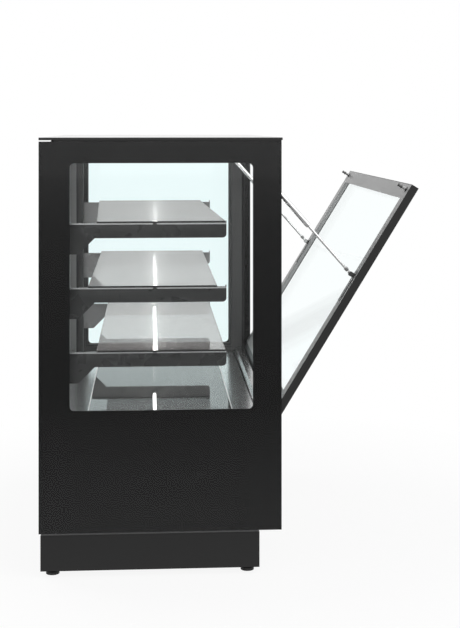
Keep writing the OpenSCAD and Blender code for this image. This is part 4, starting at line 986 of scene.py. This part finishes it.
def studio():
    """A pale floor, a white surround and soft lamps."""
    world = bpy.data.worlds.new("studio")
    world.use_nodes = True
    bpy.context.scene.world = world
    tree = world.node_tree
    tree.nodes.clear()
    output = tree.nodes.new("ShaderNodeOutputWorld")
    path = tree.nodes.new("ShaderNodeLightPath")
    place = tree.nodes.new("ShaderNodeTexCoord")
    axes = tree.nodes.new("ShaderNodeSeparateXYZ")
    tree.links.new(place.outputs["Generated"], axes.inputs[0])
    dim = tree.nodes.new("ShaderNodeMapRange")
    for spot, value in enumerate(MIRRORED_SURROUND, 1):
        dim.inputs[spot].default_value = value
    tree.links.new(axes.outputs["X"], dim.inputs[0])
    light, mirrored, seen = (tree.nodes.new("ShaderNodeBackground") for _ in range(3))
    for background in (light, mirrored, seen):
        background.inputs["Color"].default_value = (1, 1, 1, 1)
    light.inputs["Strength"].default_value = SURROUND_LIGHT
    tree.links.new(dim.outputs[0], mirrored.inputs["Strength"])
    shown = tree.nodes.new("ShaderNodeMath")
    shown.operation = "MAXIMUM"
    tree.links.new(path.outputs["Is Camera Ray"], shown.inputs[0])
    tree.links.new(path.outputs["Is Transmission Ray"], shown.inputs[1])
    first, second = tree.nodes.new("ShaderNodeMixShader"), tree.nodes.new("ShaderNodeMixShader")
    tree.links.new(path.outputs["Is Glossy Ray"], first.inputs[0])
    tree.links.new(light.outputs[0], first.inputs[1])
    tree.links.new(mirrored.outputs[0], first.inputs[2])
    tree.links.new(shown.outputs[0], second.inputs[0])
    tree.links.new(first.outputs[0], second.inputs[1])
    tree.links.new(seen.outputs[0], second.inputs[2])
    tree.links.new(second.outputs[0], output.inputs["Surface"])
    floor()
    softbox("key lamp", place=(-2.2, -2.6, 3.6), size=2.4, watts=60)
    softbox("back lamp", place=(1.8, 2.6, 3.4), size=2.4, watts=45)


# How bright the floor looks at each x in the object's own mirror images, and between which two x they lie
MIRRORED_FLOOR = [(-19.9, 0.5), (-8.0, 0.37), (-3.0, 0.31), (-1.1, 0.6), (0.9, 0.95)]
MIRRORED_FLOOR_SPAN = (-20.0, 1.0)
FLOOR_REACH = 30
FLOOR_DROP = 0.0005


def floor():
    """A floor that is white where nothing shades it, and keeps the object's soft shadow."""
    shape = bmesh.new()
    bmesh.ops.create_grid(shape, x_segments=1, y_segments=1, size=FLOOR_REACH)
    mesh = bpy.data.meshes.new("floor")
    shape.to_mesh(mesh)
    shape.free()
    ground = bpy.data.objects.new("floor", mesh)
    bpy.context.scene.collection.objects.link(ground)
    ground.location = (0, 0, -FLOOR_DROP)
    paper = Finish("floor paper", shade(0.85), roughness=0.9)
    white = paper.node("ShaderNodeEmission", Color=(1, 1, 1, 1), Strength=1.0)
    mirrored = paper.node("ShaderNodeEmission")
    path = paper.node("ShaderNodeLightPath")
    place = paper.places()
    axes = paper.node("ShaderNodeSeparateXYZ")
    paper.link(place, axes.inputs[0])
    tones = paper.tree.nodes.new("ShaderNodeValToRGB")
    start, end = MIRRORED_FLOOR_SPAN
    for x, value in MIRRORED_FLOOR:
        stop = tones.color_ramp.elements.new((x - start) / (end - start))
        stop.color = (value, value, value, 1)
    tones.color_ramp.elements.remove(tones.color_ramp.elements[0])
    tones.color_ramp.elements.remove(tones.color_ramp.elements[-1])
    paper.link(paper.between(axes.outputs["X"], 0, 1, start, end), tones.inputs[0])
    paper.link(tones.outputs[0], mirrored.inputs["Color"])
    distance = paper.tree.nodes.new("ShaderNodeVectorMath")
    distance.operation = "LENGTH"
    paper.link(place, distance.inputs[0])
    away = paper.between(distance.outputs["Value"], low=0.9, high=1.0, start=0.8, end=1.6)
    seen = paper.mixed(away, paper.shader.outputs[0], white.outputs[0])
    shown = paper.mixed(path.outputs["Is Camera Ray"], paper.shader.outputs[0], seen)
    shown = paper.mixed(path.outputs["Is Glossy Ray"], shown, mirrored.outputs[0])
    paper.link(shown, paper.output.inputs["Surface"])
    mesh.materials.append(paper.material)


def softbox(name, place, size, watts):
    """A square lamp that looks at the object's middle."""
    lamp = bpy.data.lights.new(name, "AREA")
    lamp.shape = "SQUARE"
    lamp.size = size
    lamp.energy = watts
    holder = bpy.data.objects.new(name, lamp)
    holder.location = place
    aim = Vector(OBJECT_MIDDLE) - Vector(place)
    holder.rotation_euler = aim.to_track_quat("-Z", "Y").to_euler()
    bpy.context.scene.collection.objects.link(holder)


bpy.context.scene.view_settings.view_transform = "Standard"
bpy.context.scene.cycles.transparent_max_bounces = 32
make_camera()
studio()
paint_kept_shapes()
ease_cad_shapes()
door_seal()
service_screws()
louvre_blades()
lamps()
lamp_chips()
bracket_strips()
deck_trims()
rear_doors()
strut_details()
catch_springs()
controller_face()
inlet_pins()
